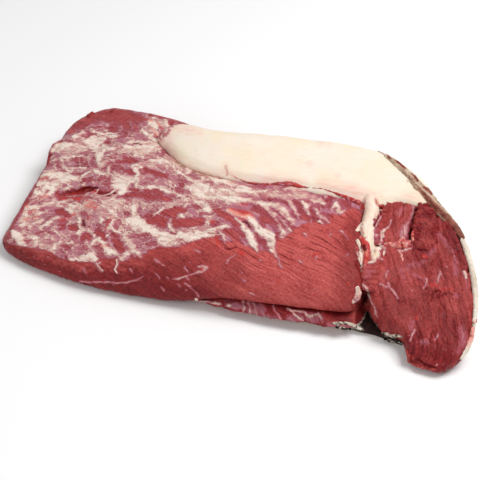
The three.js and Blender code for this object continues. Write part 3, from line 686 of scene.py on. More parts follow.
# a pattern, its middle, its share in the film on silverskin, and how much of that it has on bare lean
for pattern, middle, share, on_lean in (
    (patches, 0.5, 0.3, 0.5), (fine, 0.5, 0.45, 0.7), (torn, 0.5, 0.1, 0.8), (cloud, 0.5, 0.6, 0.0),
    (bundle, 0.5, 0.42, 0.0), (strand, 0.0, 0.45, 0.0), (net, 0.0, 0.4, 0.0),
):
    grown = add(tree, "Math", pattern, middle, operation="SUBTRACT")
    grown = add(tree, "Math", grown, share, operation="MULTIPLY")
    reach = add(tree, "MapRange", skin, 0.0, 1.0, on_lean, 1.0)
    film = add(tree, "Math", add(tree, "Math", grown, reach, operation="MULTIPLY"), film, operation="ADD")
film = add(tree, "Math", film, add(tree, "Math", bare, 0.42, operation="MULTIPLY"), operation="SUBTRACT")
fleck = add(tree, "TexNoise", add(tree, "Mapping", fibre, Scale=(160, 330, 200)), Scale=1.0, Detail=2.0)
film = add(tree, "Math", film, add(tree, "MapRange", fleck, 0.7, 0.76, 0.0, 0.45), operation="ADD")

# lean, darker where not bloomed and where shade is painted, with pale and dark fibres and furrows 7 mm
# apart in painted shade
streak = add(tree, "Math", fine, torn, operation="ADD")
streak = add(tree, "Math", streak, add(tree, "Math", bundles, 0.7, operation="MULTIPLY"), operation="ADD")
streak = add(tree, "MapRange", streak, 1.05, 1.65)
deep = add(tree, "Mix", bloom, linear("#601013"), linear("#A93A3A"), data_type="RGBA")
fresh = add(tree, "Mix", bloom, linear("#962629"), linear("#D56660"), data_type="RGBA")
cut = add(tree, "Mix", streak, deep, fresh, data_type="RGBA")
wavy = {"Scale": 45.0, "Distortion": 3.0, "Detail": 2.0, "Detail_Scale": 1.5}
furrow = add(tree, "TexWave", fibre, bands_direction="Y", give=1, **wavy)
furrow = add(tree, "MapRange", furrow, 0.0, 0.1, 0.8, 0.0)
furrow = add(tree, "Math", furrow, add(tree, "MapRange", cloud, 0.42, 0.56), operation="MULTIPLY")
furrow = add(tree, "Math", furrow, split, operation="MULTIPLY")
cut = add(tree, "Mix", furrow, cut, linear("#6E1619"), data_type="RGBA")
under = add(tree, "Mix", streak, linear("#8A2F36"), linear("#AE5057"), data_type="RGBA")
colour = add(tree, "Mix", skin, cut, under, data_type="RGBA")
mauve = add(tree, "Math", bundle, skin, operation="MULTIPLY")
mauve = add(tree, "Mix", mauve, linear("#B45E6A"), linear("#BC7C93"), data_type="RGBA")
# the film's thickness from which a tint starts, that at which it is full, and the tint
for low, high, tint in (
    (0.05, 0.32, mauve), (0.28, 0.5, linear("#C88489")), (0.45, 0.66, linear("#D6A199")),
    (0.6, 0.82, linear("#EAC6B6")), (0.8, 1.1, linear("#F3E0D3")),
):
    colour = add(tree, "Mix", add(tree, "MapRange", film, low, high), colour, tint, data_type="RGBA")
patchy = add(tree, "MapRange", patches, 0.4, 0.6, 0.65, 1.0)
stained = add(tree, "Math", add(tree, "MapRange", blood, 0.1, 0.9), patchy, operation="MULTIPLY")
bled = add(tree, "MapRange", film, 0.3, 0.9)
bled = add(tree, "Mix", bled, linear("#CA3A34"), linear("#F58C7B"), data_type="RGBA")
colour = add(tree, "Mix", stained, colour, bled, data_type="RGBA")
# painted shade: where the dark layer is high, in shadowed cuts, holes, furrows and the seam, the colour
# turns dark red
dried = add(tree, "MapRange", dark, 0.1, 0.8, 0.0, 0.9)
colour = add(tree, "Mix", dried, colour, linear("#660D10"), data_type="RGBA")
tree.links.new(colour, shader.inputs["Base Color"])

# moist, and wettest where it bled
wet = add(tree, "MapRange", add(tree, "Math", patches, blood, operation="ADD"), 0.35, 1.1, 0.44, 0.2)
wet = add(tree, "Mix", add(tree, "MapRange", dark, 0.1, 0.6), wet, 0.95)
tree.links.new(wet, shader.inputs["Roughness"])
shader.inputs["IOR"].default_value = 1.4
shader.inputs["Specular IOR Level"].default_value = 0.28
shader.inputs["Subsurface Weight"].default_value = 0.06
shader.inputs["Subsurface Radius"].default_value = (1.0, 0.35, 0.25)
shader.inputs["Subsurface Scale"].default_value = 3 * MM
height = add(tree, "Math", fine, 0.5, operation="MULTIPLY")
for pattern in (torn, bundles):
    pattern = add(tree, "Math", pattern, 0.5, operation="MULTIPLY")
    height = add(tree, "Math", height, pattern, operation="ADD")
height = add(tree, "Math", height, add(tree, "MapRange", film, 0.2, 1.0, 0.0, 0.5), operation="ADD")
furrow = add(tree, "Math", furrow, 0.4, operation="MULTIPLY")
height = add(tree, "Math", height, furrow, operation="SUBTRACT")
tree.links.new(add(tree, "Bump", Strength=0.8, Distance=2.5 * MM, Height=height), shader.inputs["Normal"])

flat.data.materials.append(lean)
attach(flat, "root")
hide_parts("flat_lean")

# --- Point ----------------------------------------------------------------------------------------
# The point is the thick muscle: its lobe fills the right end, and a thin tongue of it runs on under
# the flat. Its fibres run down the slope, under torn wisps of silverskin.

# scraps and threads of fat
POINT_CREAM = (
    ((372, 248, 2.6), (376, 250, 3.8), (376, 255, 4.2), (373, 260, 3.2), (369, 262, 1.8)),
    ((380, 245, 1.8), (384, 248, 1.4), (385, 252, 1)),
    ((382, 259, 1.5),),
    ((391, 221, 0.7), (389, 226, 0.9), (386, 229, 1.4),
     (383, 232, 2.2), (382.5, 237, 2), (381.5, 241, 1.2)),
    ((381, 217, 0.6), (377, 223, 0.7), (374, 229, 0.6)),
    ((381, 211, 1.2),),
    ((376.5, 235, 0.8),),
    ((398, 250.5, 0.8), (403, 251, 1.2), (407, 250, 0.9), (411, 247.5, 0.9)),
    ((464, 272, 1.4), (466, 275, 1.8), (466, 278, 1)),
    ((437, 283, 0.5), (438, 279, 0.7), (439.5, 274, 0.8), (440, 271, 0.6)),
    ((424, 288, 0.6), (426, 283, 0.8), (426, 278, 0.7)),
    ((388, 271, 0.7), (387, 274, 0.8), (386, 278, 0.9)),
    ((380, 285, 0.7), (384, 286, 0.8), (387, 287.5, 0.9)),
    ((388, 283, 0.6), (390, 288, 0.7), (394, 292, 0.7), (398, 298, 0.6)),
    ((363, 285, 1.4), (366, 288, 1.4), (370, 297, 1.2), (373, 305, 1), (376, 314, 0.9), (378, 318, 0.7)),
    ((435, 340, 0.7), (437, 337, 0.8), (438, 334.5, 0.6)),
    ((414, 330, 0.8), (412, 335, 0.6), (410, 340, 0.6)),
    ((229, 305, 2),),
    ((243, 300, 0.7), (244.5, 307, 0.6), (242.5, 313, 0.6)),
    ((248, 300, 0.6), (250, 307, 0.6), (249, 314, 0.6)),
    ((253, 301, 0.6), (255, 308, 0.6), (257, 316, 0.5)),
    ((273, 306, 0.5), (276, 313, 0.5), (281, 319, 0.5)),
    ((287, 308, 0.6), (292, 311, 0.9), (296, 316, 0.7), (303, 321, 0.6)),
    ((294, 310, 0.8), (304, 312, 0.8), (310, 317, 0.9), (318, 313, 0.9), (322, 319, 0.6)),
    ((197, 300, 0.8), (208, 302, 1), (220, 304, 1)),
)
# silverskin on the tongue, which is also painted darker as the shade under the flat
TONGUE_FILM = (
    ((228, 303, 3), (237, 306, 4)),
    ((243, 306, 4), (250, 308, 6), (259, 310, 6)),
    ((264, 317, 2.4), (276, 320, 2.4)),
    ((288, 318, 1.4), (299, 318, 4)),
    ((311, 317, 5), (320, 319, 4)),
)
# torn wisps of silverskin on the lobe
POINT_FILM = (
    ((415, 202, 1.4), (413, 207, 1.8), (412, 213, 1.6), (410, 220, 1.8),
     (407, 224, 2.4), (405, 229, 3.2), (404, 235, 3.4)),
    ((424, 199, 1.2), (427, 204, 1.2), (430, 210, 1), (432, 214, 1)),
    ((439, 235, 1.2), (443, 240, 1.4), (447, 244, 1.2), (453, 251, 1)),
    ((398, 214, 1.2), (404, 209, 1.2)),
    ((372, 220, 2), (373, 232, 3), (375, 238, 2)),
    ((365, 268, 2), (369, 272, 2.4), (373, 271, 1.8), (366, 277, 1.6)),
    ((407, 268, 0.9), (409, 265, 1.3), (414, 264, 1.6), (419, 264, 1.6), (424, 262, 1.2)),
    ((409, 270, 0.9), (413, 275, 0.9), (420, 278, 1)),
    ((429, 254, 1), (433, 251, 1.3), (436, 249, 1)),
    ((401, 270, 1.2), (404, 277, 1.2)),
    ((455, 258, 1.2), (456, 266, 1.8), (455, 275, 1.4)),
    ((467, 280, 1), (468, 286, 1), (468, 292, 0.9)),
    ((455, 296, 1.7), (459, 295, 1.2)),
    ((422, 342, 1.8), (426, 342, 2.2), (428, 343, 1.4)),
    ((462, 328, 2.4), (463, 336, 2.8), (462, 344, 2.4), (458, 352, 1.8)),
    ((413, 322, 2), (411, 328, 1.6)),
    ((328, 325, 2), (345, 327, 3), (358, 330, 2)),
)
# tan films along the crack
TAN = (
    ((408, 222, 1), (405, 228, 2.6), (403, 234, 4), (403, 240, 3)),
    ((417, 201, 0.8), (414, 208, 1.6), (412, 215, 1.6), (411, 221, 1)),
)
# blood and raw spots
POINT_BLOOD = (
    ((385, 244, 1.5), (392, 245, 2), (399, 243, 2)),
    ((400, 252, 1), (402, 255, 1.1), (403, 261, 0.9)),
    ((378, 202, 1.5), (380, 204, 1.5), (384, 202, 1)),
    ((424, 256, 1.8), (427, 255.5, 1.5)),
    ((387.5, 278, 1),),
    ((430, 284, 1.6), (436, 286, 1.6)),
    ((441, 289, 0.8), (446, 288, 0.9), (452, 290, 0.7)),
    ((416, 318, 1.4), (418, 317, 1)),
    ((432, 351, 0.9),),
    ((408, 355, 1.6), (413, 358, 1.6)),
    ((404, 246, 1.5), (408, 244, 2), (410, 242, 1.4)),
)
# dark cuts and holes, and painted shadows beside the lumps and along the gap by the seam
POINT_DARK_AND_SHADE = (
    ((417, 204, 0.8), (416, 208, 0.9), (414, 214, 0.9), (411, 221, 0.5)),
    ((411, 227, 0.9), (410, 232, 1.5), (409, 238, 1.5)),
    ((412, 240, 0.8), (412, 243, 1)),
    ((401, 242, 0.6), (402, 246, 0.8), (402, 249, 0.8)),
    ((430, 300, 0.3), (433, 294, 0.5), (436, 291, 0.4), (441, 290.5, 0.3)),
    ((417, 359, 0.9), (422, 363, 1.1), (428, 366, 1.1), (436, 368, 0.8)),
    ((372, 228, 1), (376, 221, 1.1), (379, 217, 0.7)),
    ((364, 245, 1.2), (364.5, 249, 2)),
    ((381, 248, 0.8),),
)
# skin stretched over the seam
MEMBRANE = (
    ((379, 218, 2.4), (375, 226, 4), (375, 234, 4.6), (375, 241, 4)),
)
# the dried margin by the cap
MARGIN = (
    ((428, 200, 1.6), (436, 213, 3.4), (447, 229, 4.4),
     (456, 245, 4.4), (463, 260, 3.6), (468, 275, 2.4)),
)
# where the lobe swells
SWELLS = (
    ((401, 207, 5), (397, 220, 7), (391, 234, 6)), ((380, 270, 6), (384, 300, 7), (392, 318, 6)),
    ((444, 302, 8),), ((430, 340, 8), (442, 346, 7)),
)
# the deep crack in the lobe's top, painted dark as its shade
CRACK = (
    ((417, 203, 0.6), (416, 209, 0.9), (414, 216, 1), (412, 223, 1.2),
     (410.5, 230, 1.9), (409.5, 237, 2.2), (411, 242, 1.2)),
)
# which way the fibres run
POINT_GRAIN = (
    (395, 215, 112), (388, 235, 102), (425, 215, 88), (425, 240, 92), (450, 250, 68), (440, 275, 78),
    (465, 300, 92), (385, 265, 76), (370, 290, 70), (395, 300, 70), (400, 325, 80), (425, 300, 94),
    (445, 320, 110), (455, 345, 118), (430, 358, 132), (240, 310, 6), (290, 315, 8), (340, 322, 6),
)
# the dark torn part to the right of the crack
RAISED = (((424, 208, 7), (430, 230, 8), (424, 250, 6)),)

# the dip that the solid has at the lobe's top is smoothed away: its place in the frame, its half
# width and height there, how high above the table it lies, and the rounds that it takes
DIP_MIDDLE, DIP_REACH, DIP_ABOVE, DIP_ROUNDS = (428, 227), (11, 30), 35 * MM, 220
point = meshed("point_lean", "point_muscle", 2.1 * MM)
healed = bmesh.new()
healed.from_mesh(point.data)
inside = np.hypot(*((on_frame(spots(point)) - DIP_MIDDLE) / DIP_REACH).T) < 1
inside &= spots(point)[:, 2] > DIP_ABOVE
sunken = [v for v in healed.verts if inside[v.index]]
for _ in range(DIP_ROUNDS):
    bmesh.ops.smooth_vert(healed, verts=sunken, factor=0.5, **AXES)
healed.to_mesh(point.data)
healed.free()

fibre = along_grain(point, POINT_GRAIN)
place = viewed(point)[1]
silvery = marks(point, TONGUE_FILM, 2)
cover = np.maximum(0.9 * marks(point, POINT_CREAM, 1), 0.05 * silvery)
cover = np.maximum.reduce([cover, 0.34 * marks(point, POINT_FILM, 3), 0.55 * marks(point, TAN, 1.5)])
crack = marks(point, CRACK, 1.5)
dark = np.maximum(marks(point, POINT_DARK_AND_SHADE, 1), marks(point, CLEFT_SHADE, 2))
relief = 1.3 * MM * rough(spots(point), 13 * MM) + 0.3 * MM * rough(spots(point), 5 * MM, 1)
press(point, relief + 0.25 * MM * rough(fibre * (0.25, 1, 0.25), 5 * MM, 1))

# creases between the fibres are deepest on the lobe, where they were torn apart
creases = step(1 - np.abs(rough(fibre * (0.3, 1, 0.3), 7 * MM, 11)), 0.8, 1)
lobe = step(place[:, 0] - 0.25 * (place[:, 1] - 250), 396, 412)
press(point, 1.5 * MM * (0.6 + 0.4 * lobe) * creases - 0.9 * MM * lobe * rough(spots(point), 4 * MM, 12))
press(point, 2 * MM * dark + 5 * MM * crack - 0.7 * MM * cover - 2.5 * MM * marks(point, SWELLS, 7))

dried = marks(point, MARGIN, 3) * (0.75 + 0.5 * rough(fibre * ALONG, 3 * MM, 2))
bloom = 0.42 + 0.35 * rough(spots(point), 24 * MM, 4) + 0.3 * rough(fibre * ALONG, 9 * MM, 13)
bloom -= 0.3 * step(place[:, 1], 300, 345) + 0.35 * step(place[:, 0], 356, 346)
bloom = np.clip(bloom - 0.5 * dried - 0.6 * marks(point, RAISED, 5), 0, 1)
keep(point, fibre=fibre, cover=cover, bloom=bloom, split=0.5 * step(place[:, 0], 395, 420))
keep(point, skin=np.maximum(0.9 * silvery, 0.4 * marks(point, MEMBRANE, 4)))
# painted shade: the crack and the tongue under the flat's overhang go dark with the cuts and the seam
dark = np.maximum.reduce([dark, crack, 0.4 * silvery])
keep(point, dark=dark, blood=0.8 * marks(point, POINT_BLOOD, 1.4))
point.data.materials.append(lean)
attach(point, "root")
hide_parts("point_lean")

# --- Hard fat -------------------------------------------------------------------------------------
# A loaf of firm seam fat lies along the back, over the seam between the muscles, and one strand of
# it runs down between flat and lobe. It is smooth cream, yellower inside and pink by the lean.

# pink flushes along the loaf's edges
PINK = (
    ((168, 134, 5), (166, 142, 6), (168, 151, 5), (176, 159, 2),
     (190, 167, 1.6), (200, 172, 1.6), (215, 174, 1.6), (226, 172, 3)),
    ((226, 166, 1.5), (227, 172, 2), (236, 177, 2),
     (250, 182, 2), (272, 179, 4), (290, 180, 3), (305, 183, 2)),
    ((320, 184, 3), (340, 188, 5), (352, 190, 7), (366, 197, 6), (376, 198, 5)),
    ((404, 195, 2), (413, 196, 3), (420, 197, 3)),
    ((168, 132, 3), (174, 128, 3), (192, 130, 3), (199, 132, 2)),
    ((366, 210, 3), (372, 222, 3), (368, 236, 3)),
    ((321, 143, 1.6),), ((329, 145, 1.4),), ((310, 164, 1),), ((337, 176, 1),),
)
# rusty stains
STAIN = (
    ((226, 166, 0.6), (226.5, 170, 0.8), (227, 175, 0.8)),
    ((158, 145, 0.8), (163, 151, 0.7), (169, 156, 0.9), (174, 160, 1),
     (182, 166, 0.9), (190, 170, 0.9), (197, 173, 1), (207, 176, 1), (219, 178, 0.8)),
    ((364, 226, 0.6), (361, 229, 0.7), (364, 234, 0.5)),
    ((408, 181, 1),),
)
# silverskin on the loaf's thin end
SKIN_END = (
    ((164, 124, 4), (172, 122, 3)), ((163, 129, 6), (170, 127, 4)), ((161, 134, 5), (165, 133, 4)),
    ((160, 139, 4), (159, 143, 2.5)),
)
# blood at the thin end and in the seam
SEAM_BLOOD = (
    ((162, 122, 0.7), (169, 123, 1), (177, 124.5, 0.9)),
    ((166, 126, 0.5), (161, 131, 0.7), (159, 137, 0.6)),
    ((357, 226, 0.8), (361, 231, 1), (365, 237, 1)),
    ((360, 239, 2), (365, 245, 4), (367, 252, 4), (367, 262, 5), (368, 270, 6), (367, 278, 6)),
    ((376, 202, 2), (378, 206, 1.5)),
)
# turns a pattern along the loaf, in radians
ALONG_LOAF = (0, 0, 0.5)

seam_fat = meshed("hard_fat", "seam_fat", 2.0 * MM)
press(seam_fat, 0.3 * MM * rough(spots(seam_fat), 14 * MM) - 0.5 * MM)
keep(seam_fat, pink=marks(seam_fat, PINK, 5), stain=marks(seam_fat, STAIN, 1.2))
keep(seam_fat, skin=marks(seam_fat, SKIN_END, 1.4), blood=marks(seam_fat, SEAM_BLOOD, 1.2))

# Hard beef fat is dense and waxy: smooth, satin and cream, with some light soaking into it.
suet = bpy.data.materials.new("hard_seam_fat")
suet.use_nodes = True
tree = suet.node_tree
shader = tree.nodes["Principled BSDF"]
body = add(tree, "TexCoord", give=3)
cloud = add(tree, "TexNoise", body, Scale=1 / (40 * MM), Detail=3.0)
grain = add(tree, "Mapping", body, Rotation=ALONG_LOAF, Scale=(1 / (12 * MM), 1 / (3 * MM), 1 / (3 * MM)))
grain = add(tree, "TexNoise", grain, Scale=1.0, Detail=4.0)
yellow = add(tree, "MapRange", cloud, 0.35, 0.65)
colour = add(tree, "Mix", yellow, linear("#F4E7D8"), linear("#F5E4CB"), data_type="RGBA")
tan = add(tree, "MapRange", grain, 0.55, 0.75, 0.0, 0.5)
colour = add(tree, "Mix", tan, colour, linear("#F1D5BE"), data_type="RGBA")
pink, skin, stain, blood = (
    add(tree, "Attribute", attribute_name=name, give=2) for name in ("pink", "skin", "stain", "blood")
)
pink = add(tree, "Math", pink, add(tree, "MapRange", grain, 0.3, 0.7, 0.3, 0.85), operation="MULTIPLY")
colour = add(tree, "Mix", pink, colour, linear("#EFBDAE"), data_type="RGBA")
# silverskin left on the loaf's thin end comes off in flakes
flaky = add(tree, "Mapping", body, Rotation=ALONG_LOAF, Scale=(1 / (9 * MM), 1 / (4 * MM), 1 / (4 * MM)))
flaky = add(tree, "MapRange", add(tree, "TexNoise", flaky, Scale=1.0, Detail=3.0), 0.42, 0.58)
flaky = add(tree, "Mix", flaky, linear("#B4666B"), linear("#E8C6B9"), data_type="RGBA")
colour = add(tree, "Mix", skin, colour, flaky, data_type="RGBA")
stain = add(tree, "Math", stain, 0.8, operation="MULTIPLY")
colour = add(tree, "Mix", stain, colour, linear("#B4553A"), data_type="RGBA")
bled = add(tree, "Mix", grain, linear("#8E1518"), linear("#C8504A"), data_type="RGBA")
blood = add(tree, "Math", blood, 0.95, operation="MULTIPLY")
colour = add(tree, "Mix", blood, colour, bled, data_type="RGBA")
tree.links.new(colour, shader.inputs["Base Color"])
shader.inputs["Roughness"].default_value = 0.48
shader.inputs["IOR"].default_value = 1.45
shader.inputs["Subsurface Weight"].default_value = 0.2
shader.inputs["Subsurface Radius"].default_value = (1.0, 0.6, 0.4)
shader.inputs["Subsurface Scale"].default_value = 6 * MM
tree.links.new(add(tree, "Bump", Strength=0.35, Distance=0.8 * MM, Height=grain), shader.inputs["Normal"])
seam_fat.data.materials.append(suet)
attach(seam_fat, "root")
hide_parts("hard_fat")

# --- Fat cap --------------------------------------------------------------------------------------
# The cap is the softer outer fat that the brisket lies on. It turns up round the thick end, where its
# rim has dried to brown and grey.

# which way the rim runs
RIM_GRAIN = (
    (388, 158, 36), (408, 175, 44), (428, 196, 50), (446, 216, 48), (462, 238, 60), (474, 290, 88),
    (460, 350, 130),
)
# the dried rim
DRIED = (
    ((383, 153, 3), (395, 160, 4), (405, 168, 4), (415, 179, 4), (425, 190, 6),
     (435, 202, 7), (445, 215, 7), (455, 226, 6), (463, 236, 3)),
)
# dirt below the muscles, with painted shade there and in the deep seam
DIRT_AND_SHADE = (
    ((226, 306, 1), (240, 314, 1.5), (260, 320, 2), (290, 323, 2), (315, 325, 1.5)),
    ((330, 328, 2), (345, 330, 3), (362, 332, 3), (374, 334, 4),
     (385, 340, 5), (398, 343, 5), (404, 343, 3)),
    ((360, 306, 6), (366, 318, 10), (373, 328, 11), (381, 336, 6)),
)
cap = meshed("fat_cap", "cap_fat", 2.9 * MM)
keep(cap, fibre=along_grain(cap, RIM_GRAIN))
relief = 0.6 * MM * rough(spots(cap), 12 * MM) + 0.3 * MM * rough(spots(cap), 5 * MM, 1)
press(cap, relief + 0.7 * MM * step(-facing(cap)[:, 2], 0.2, 0.8))
keep(cap, dried=marks(cap, DRIED, 3), dirt=marks(cap, DIRT_AND_SHADE, 2))

# Soft beef fat is greasy and lumpy, in lobules of 9 mm: duller than the hard fat, and matt where dirty
# and where shade is painted.
soft_fat = bpy.data.materials.new("soft_cap_fat")
soft_fat.use_nodes = True
tree = soft_fat.node_tree
shader = tree.nodes["Principled BSDF"]
body = add(tree, "TexCoord", give=3)
cloud = add(tree, "TexNoise", body, Scale=1 / (22 * MM), Detail=5.0, Roughness=0.6)
lobule = add(tree, "TexVoronoi", body, feature="DISTANCE_TO_EDGE", Scale=1 / (9 * MM))
grey = add(tree, "MapRange", cloud, 0.35, 0.65)
colour = add(tree, "Mix", grey, linear("#E4D8C8"), linear("#CDBBA8"), data_type="RGBA")
fibre = add(tree, "Attribute", attribute_name="fibre", give=1)
dried, raw, dirt = (
    add(tree, "Attribute", attribute_name=name, give=2) for name in ("dried", "raw", "dirt")
)
# as it dries it goes tan, then brown and last dark red, in streaks along the rim 2.4 mm apart
streak = add(tree, "Mapping", fibre, Scale=(50, 420, 200))
streak = add(tree, "TexNoise", streak, Scale=1.0, Detail=4.0, Roughness=0.65)
streak = add(tree, "MapRange", streak, 0.4, 0.62)
crust = add(tree, "Mix", streak, linear("#C9AE94"), linear("#9A7560"), data_type="RGBA")
brown = add(tree, "Mix", streak, linear("#56180F"), linear("#A5604C"), data_type="RGBA")
for low, high, tint in ((0.1, 0.45, crust), (0.5, 0.8, brown), (0.92, 0.98, linear("#7E1F1B"))):
    colour = add(tree, "Mix", add(tree, "MapRange", dried, low, high), colour, tint, data_type="RGBA")
colour = add(tree, "Mix", raw, colour, linear("#E2948A"), data_type="RGBA")
# dirt and painted shade: near-black patches under the muscles and in the deep seam
patchy = add(tree, "TexNoise", body, Scale=1 / (7 * MM), Detail=5.0, Roughness=0.7)
patchy = add(tree, "MapRange", patchy, 0.5, 0.6)
patchy = add(tree, "Mix", patchy, linear("#1B0504"), linear("#361A15"), data_type="RGBA")
colour = add(tree, "Mix", dirt, colour, patchy, data_type="RGBA")
tree.links.new(colour, shader.inputs["Base Color"])
tree.links.new(add(tree, "MapRange", dirt, 0.0, 1.0, 0.5, 0.9), shader.inputs["Roughness"])
shader.inputs["Specular IOR Level"].default_value = 0.3
shader.inputs["Subsurface Weight"].default_value = 0.15
shader.inputs["Subsurface Radius"].default_value = (1.0, 0.6, 0.4)
shader.inputs["Subsurface Scale"].default_value = 5 * MM
height = add(tree, "Math", cloud, lobule, operation="ADD")
tree.links.new(add(tree, "Bump", Strength=0.5, Distance=1.0 * MM, Height=height), shader.inputs["Normal"])
cap.data.materials.append(soft_fat)
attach(cap, "root")
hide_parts("fat_cap")

# --- Torn lean ------------------------------------------------------------------------------------
# Where the butcher pulled and cut the muscles apart, lumps and rags of lean stand up: on the lobe,
# along the edge of the hard fat, at the corners and in the seam. Balls of lean are run together.


def sight(x, y):
    """The direction in which the camera sees a place in its frame."""
    reach = camera.data.sensor_width / LENS / FRAME
    return (reach * (x - FRAME / 2) * right - reach * (y - FRAME / 2) * up - back).normalized()


BALL_GAP = 0.4  # from ball to ball, in radii
LEAST_BALL = 0.55  # in squares of the mesh, which would lose a smaller ball


def laid(name, strokes, sunk=0.3, square=0.8 * MM, taut=False):
    """Shreds and lumps of tissue along strokes: balls of each stroke's radius, sunk by that share of
    it into the surface that the camera sees there, and run together. Taut ones are stretched
    straight between their own points, over whatever lies deeper."""
    balls = bmesh.new()
    for stroke in strokes:
        path = np.array(stroke if len(stroke) > 1 else stroke * 2, float)
        walked = np.concatenate([[0], np.cumsum(np.hypot(*np.diff(path[:, :2], axis=0).T) + 1e-6)])
        steps = np.linspace(0, walked[-1], int(walked[-1] / max(0.5, BALL_GAP * path[:, 2].min())) + 2)
        x, y, radius = (np.interp(steps, walked, path[:, i]).tolist() for i in range(3))
        tried, places = (walked, path[:, :2].tolist()) if taut else (steps, zip(x, y))
        away = [standing.ray_cast(eye, sight(*xy))[3] for xy in places]
        met = [i for i, a in enumerate(away) if a]
        if not met:
            continue
        away = np.interp(steps, tried[met], [away[i] for i in met]).tolist()
        for xi, yi, ri, ai in zip(x, y, radius, away):
            size = ri * ai * camera.data.sensor_width / LENS / FRAME
            at = Matrix.Translation(eye + (ai - (1 - 2 * sunk) * size) * sight(xi, yi))
            size = max(size, LEAST_BALL * square)
            bmesh.ops.create_icosphere(balls, subdivisions=2, radius=size, matrix=at)
    mesh = bpy.data.meshes.new("balls")
    balls.to_mesh(mesh)
    balls.free()
    return evened(name, mesh, square, 8 if taut else 2)


def dress(piece, material, across=3 * MM):
    """Roughens a small piece, gives it its material and fixes it to the brisket."""
    keep(piece, fibre=along_grain(piece, FLAT_GRAIN + POINT_GRAIN + RIM_GRAIN))
    place = spots(piece)
    press(piece, 0.5 * MM * rough(place, across, 3) + 0.3 * MM * rough(place, across / 2, 4))
    piece.data.materials.append(material)
    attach(piece, "root")


lumps = laid("torn_lumps", (
    ((419, 204, 2), (429, 205, 2.4)), ((419, 208, 2.6), (433, 210, 2.6)), ((418, 213, 3), (435, 214, 3)),
    ((417, 218, 3.2), (436, 219, 3)), ((416, 223, 3.4), (437, 223, 3.2)),
    ((415, 228, 3.6), (437, 228, 3.2)), ((415, 233, 3.6), (436, 233, 3.4)),
    ((415, 238, 3.4), (435, 238, 3.4)), ((415, 243, 3), (433, 243, 3.2)),
    ((416, 248, 2.6), (429, 248, 2.6)), ((421, 206, 2), (425, 214, 2.4), (421, 222, 2)),
    ((427, 224, 2.4), (424, 232, 3), (419, 240, 2.4)),
    ((431, 214, 2), (433, 224, 2.4), (428, 234, 2.4), (427, 243, 2)),
    ((436, 299, 2.2), (441, 294.5, 3), (448, 293, 2.6), (454, 296, 1.8)),
), sunk=0.72, taut=True)
creases = step(1 - np.abs(rough(spots(lumps), 8 * MM, 6)), 0.82, 1)
press(lumps, 1.2 * MM * rough(spots(lumps), 7 * MM, 5) + 1.3 * MM * creases)
keep(lumps, dark=marks(lumps, POINT_DARK_AND_SHADE, 1), bloom=0.12 + 0.6 * rough(spots(lumps), 9 * MM))
dress(lumps, lean)

edge_lean = laid("seam_edge", (
    ((230, 174.5, 0.7), (240, 179.5, 1), (250, 183, 1.2), (262, 184.5, 1.4),
     (270, 185, 1.8), (278, 184.5, 2.6), (286, 184.5, 3.6)),
    ((286, 184.5, 3.6), (294, 185, 3.4), (302, 187, 1.6), (310, 188, 0.9),
     (322, 188.5, 0.9), (332, 192, 1.3), (342, 196, 2.1)),
    ((342, 196, 2.1), (350, 199.5, 2.8), (358, 203, 3.4), (364, 207, 2.6), (361, 210, 1.6)),
), sunk=0.6)
place = spots(edge_lean)
keep(edge_lean, bloom=0.45 + 0.5 * rough(place, 6 * MM), blood=0.35 + 0.6 * rough(place, 5 * MM, 7))
keep(edge_lean, cover=0.15 + 0.8 * rough(place, 3 * MM, 8))
dress(edge_lean, lean)

corner = laid("corner_scraps", (
    ((61, 143, 3), (56, 147, 4.5), (52.5, 152, 3.8), (50, 158, 2.6), (47.5, 165, 1.4)),
    ((89, 116, 2.5), (92.5, 113, 1.6)),
    ((111, 112, 2), (114, 110, 1.1)),
), sunk=0.6)
keep(corner, cover=marks(corner, CREAM, 2), bloom=np.full(len(spots(corner)), 0.2))
dress(corner, lean)

ragged = laid("ragged_end", (
    ((407, 350, 2), (409, 356, 2.5), (409, 361, 2)),
    ((412, 363, 2), (419, 366, 2), (426, 368, 1.6)),
    ((430, 369, 1.5), (436, 369.5, 1.4)),
    ((475, 314, 1.2), (476, 318, 1.2), (476.5, 322, 1)),
), sunk=0.6)
keep(ragged, bloom=0.5 + 0.4 * rough(spots(ragged), 6 * MM))
keep(ragged, blood=0.6 * step(on_frame(spots(ragged))[:, 0], 465, 470))
dress(ragged, lean, 2 * MM)

bridge = laid("seam_membrane", (
    ((377, 206, 1.6), (383, 206, 2)), ((379, 211, 2), (385, 211, 2.2)), ((376, 216, 2), (384, 217, 2.4)),
    ((374, 221, 3), (384, 222, 3)), ((374, 226, 3.2), (384, 227, 3.2)),
    ((374, 232, 3.4), (384, 232, 3.4)), ((374, 238, 3.4), (384, 238, 3.4)),
    ((374, 243, 2.6), (384, 243, 2.6)), ((364, 263, 2.4), (381, 263, 3)),
    ((364, 268, 3), (380, 268, 3.4)), ((364, 273, 3.2), (380, 273, 3.6)),
    ((363, 278, 3.2), (378, 278, 3.8)), ((363, 283, 3), (377, 284, 3.8)),
    ((363, 288, 2.4), (376, 290, 3.6)), ((365, 292, 2), (376, 296, 3)),
), sunk=0.7, taut=True)
keep(bridge, cover=np.maximum(0.9 * marks(bridge, POINT_CREAM, 1), 0.28 * marks(bridge, POINT_FILM, 3)))
keep(bridge, skin=0.7 * marks(bridge, MEMBRANE, 3), dark=marks(bridge, POINT_DARK_AND_SHADE, 1))
keep(bridge, bloom=0.45 + 0.4 * rough(spots(bridge), 9 * MM))
dress(bridge, lean)

# --- Shreds of fat and tissue ---------------------------------------------------------------------
# The hard fat's strand hangs torn in the seam, with bloody pink tissue in it. Threads and scraps of
# fat and tissue, laid like the torn lean, cling to the cuts and along the loaf's lower edge.

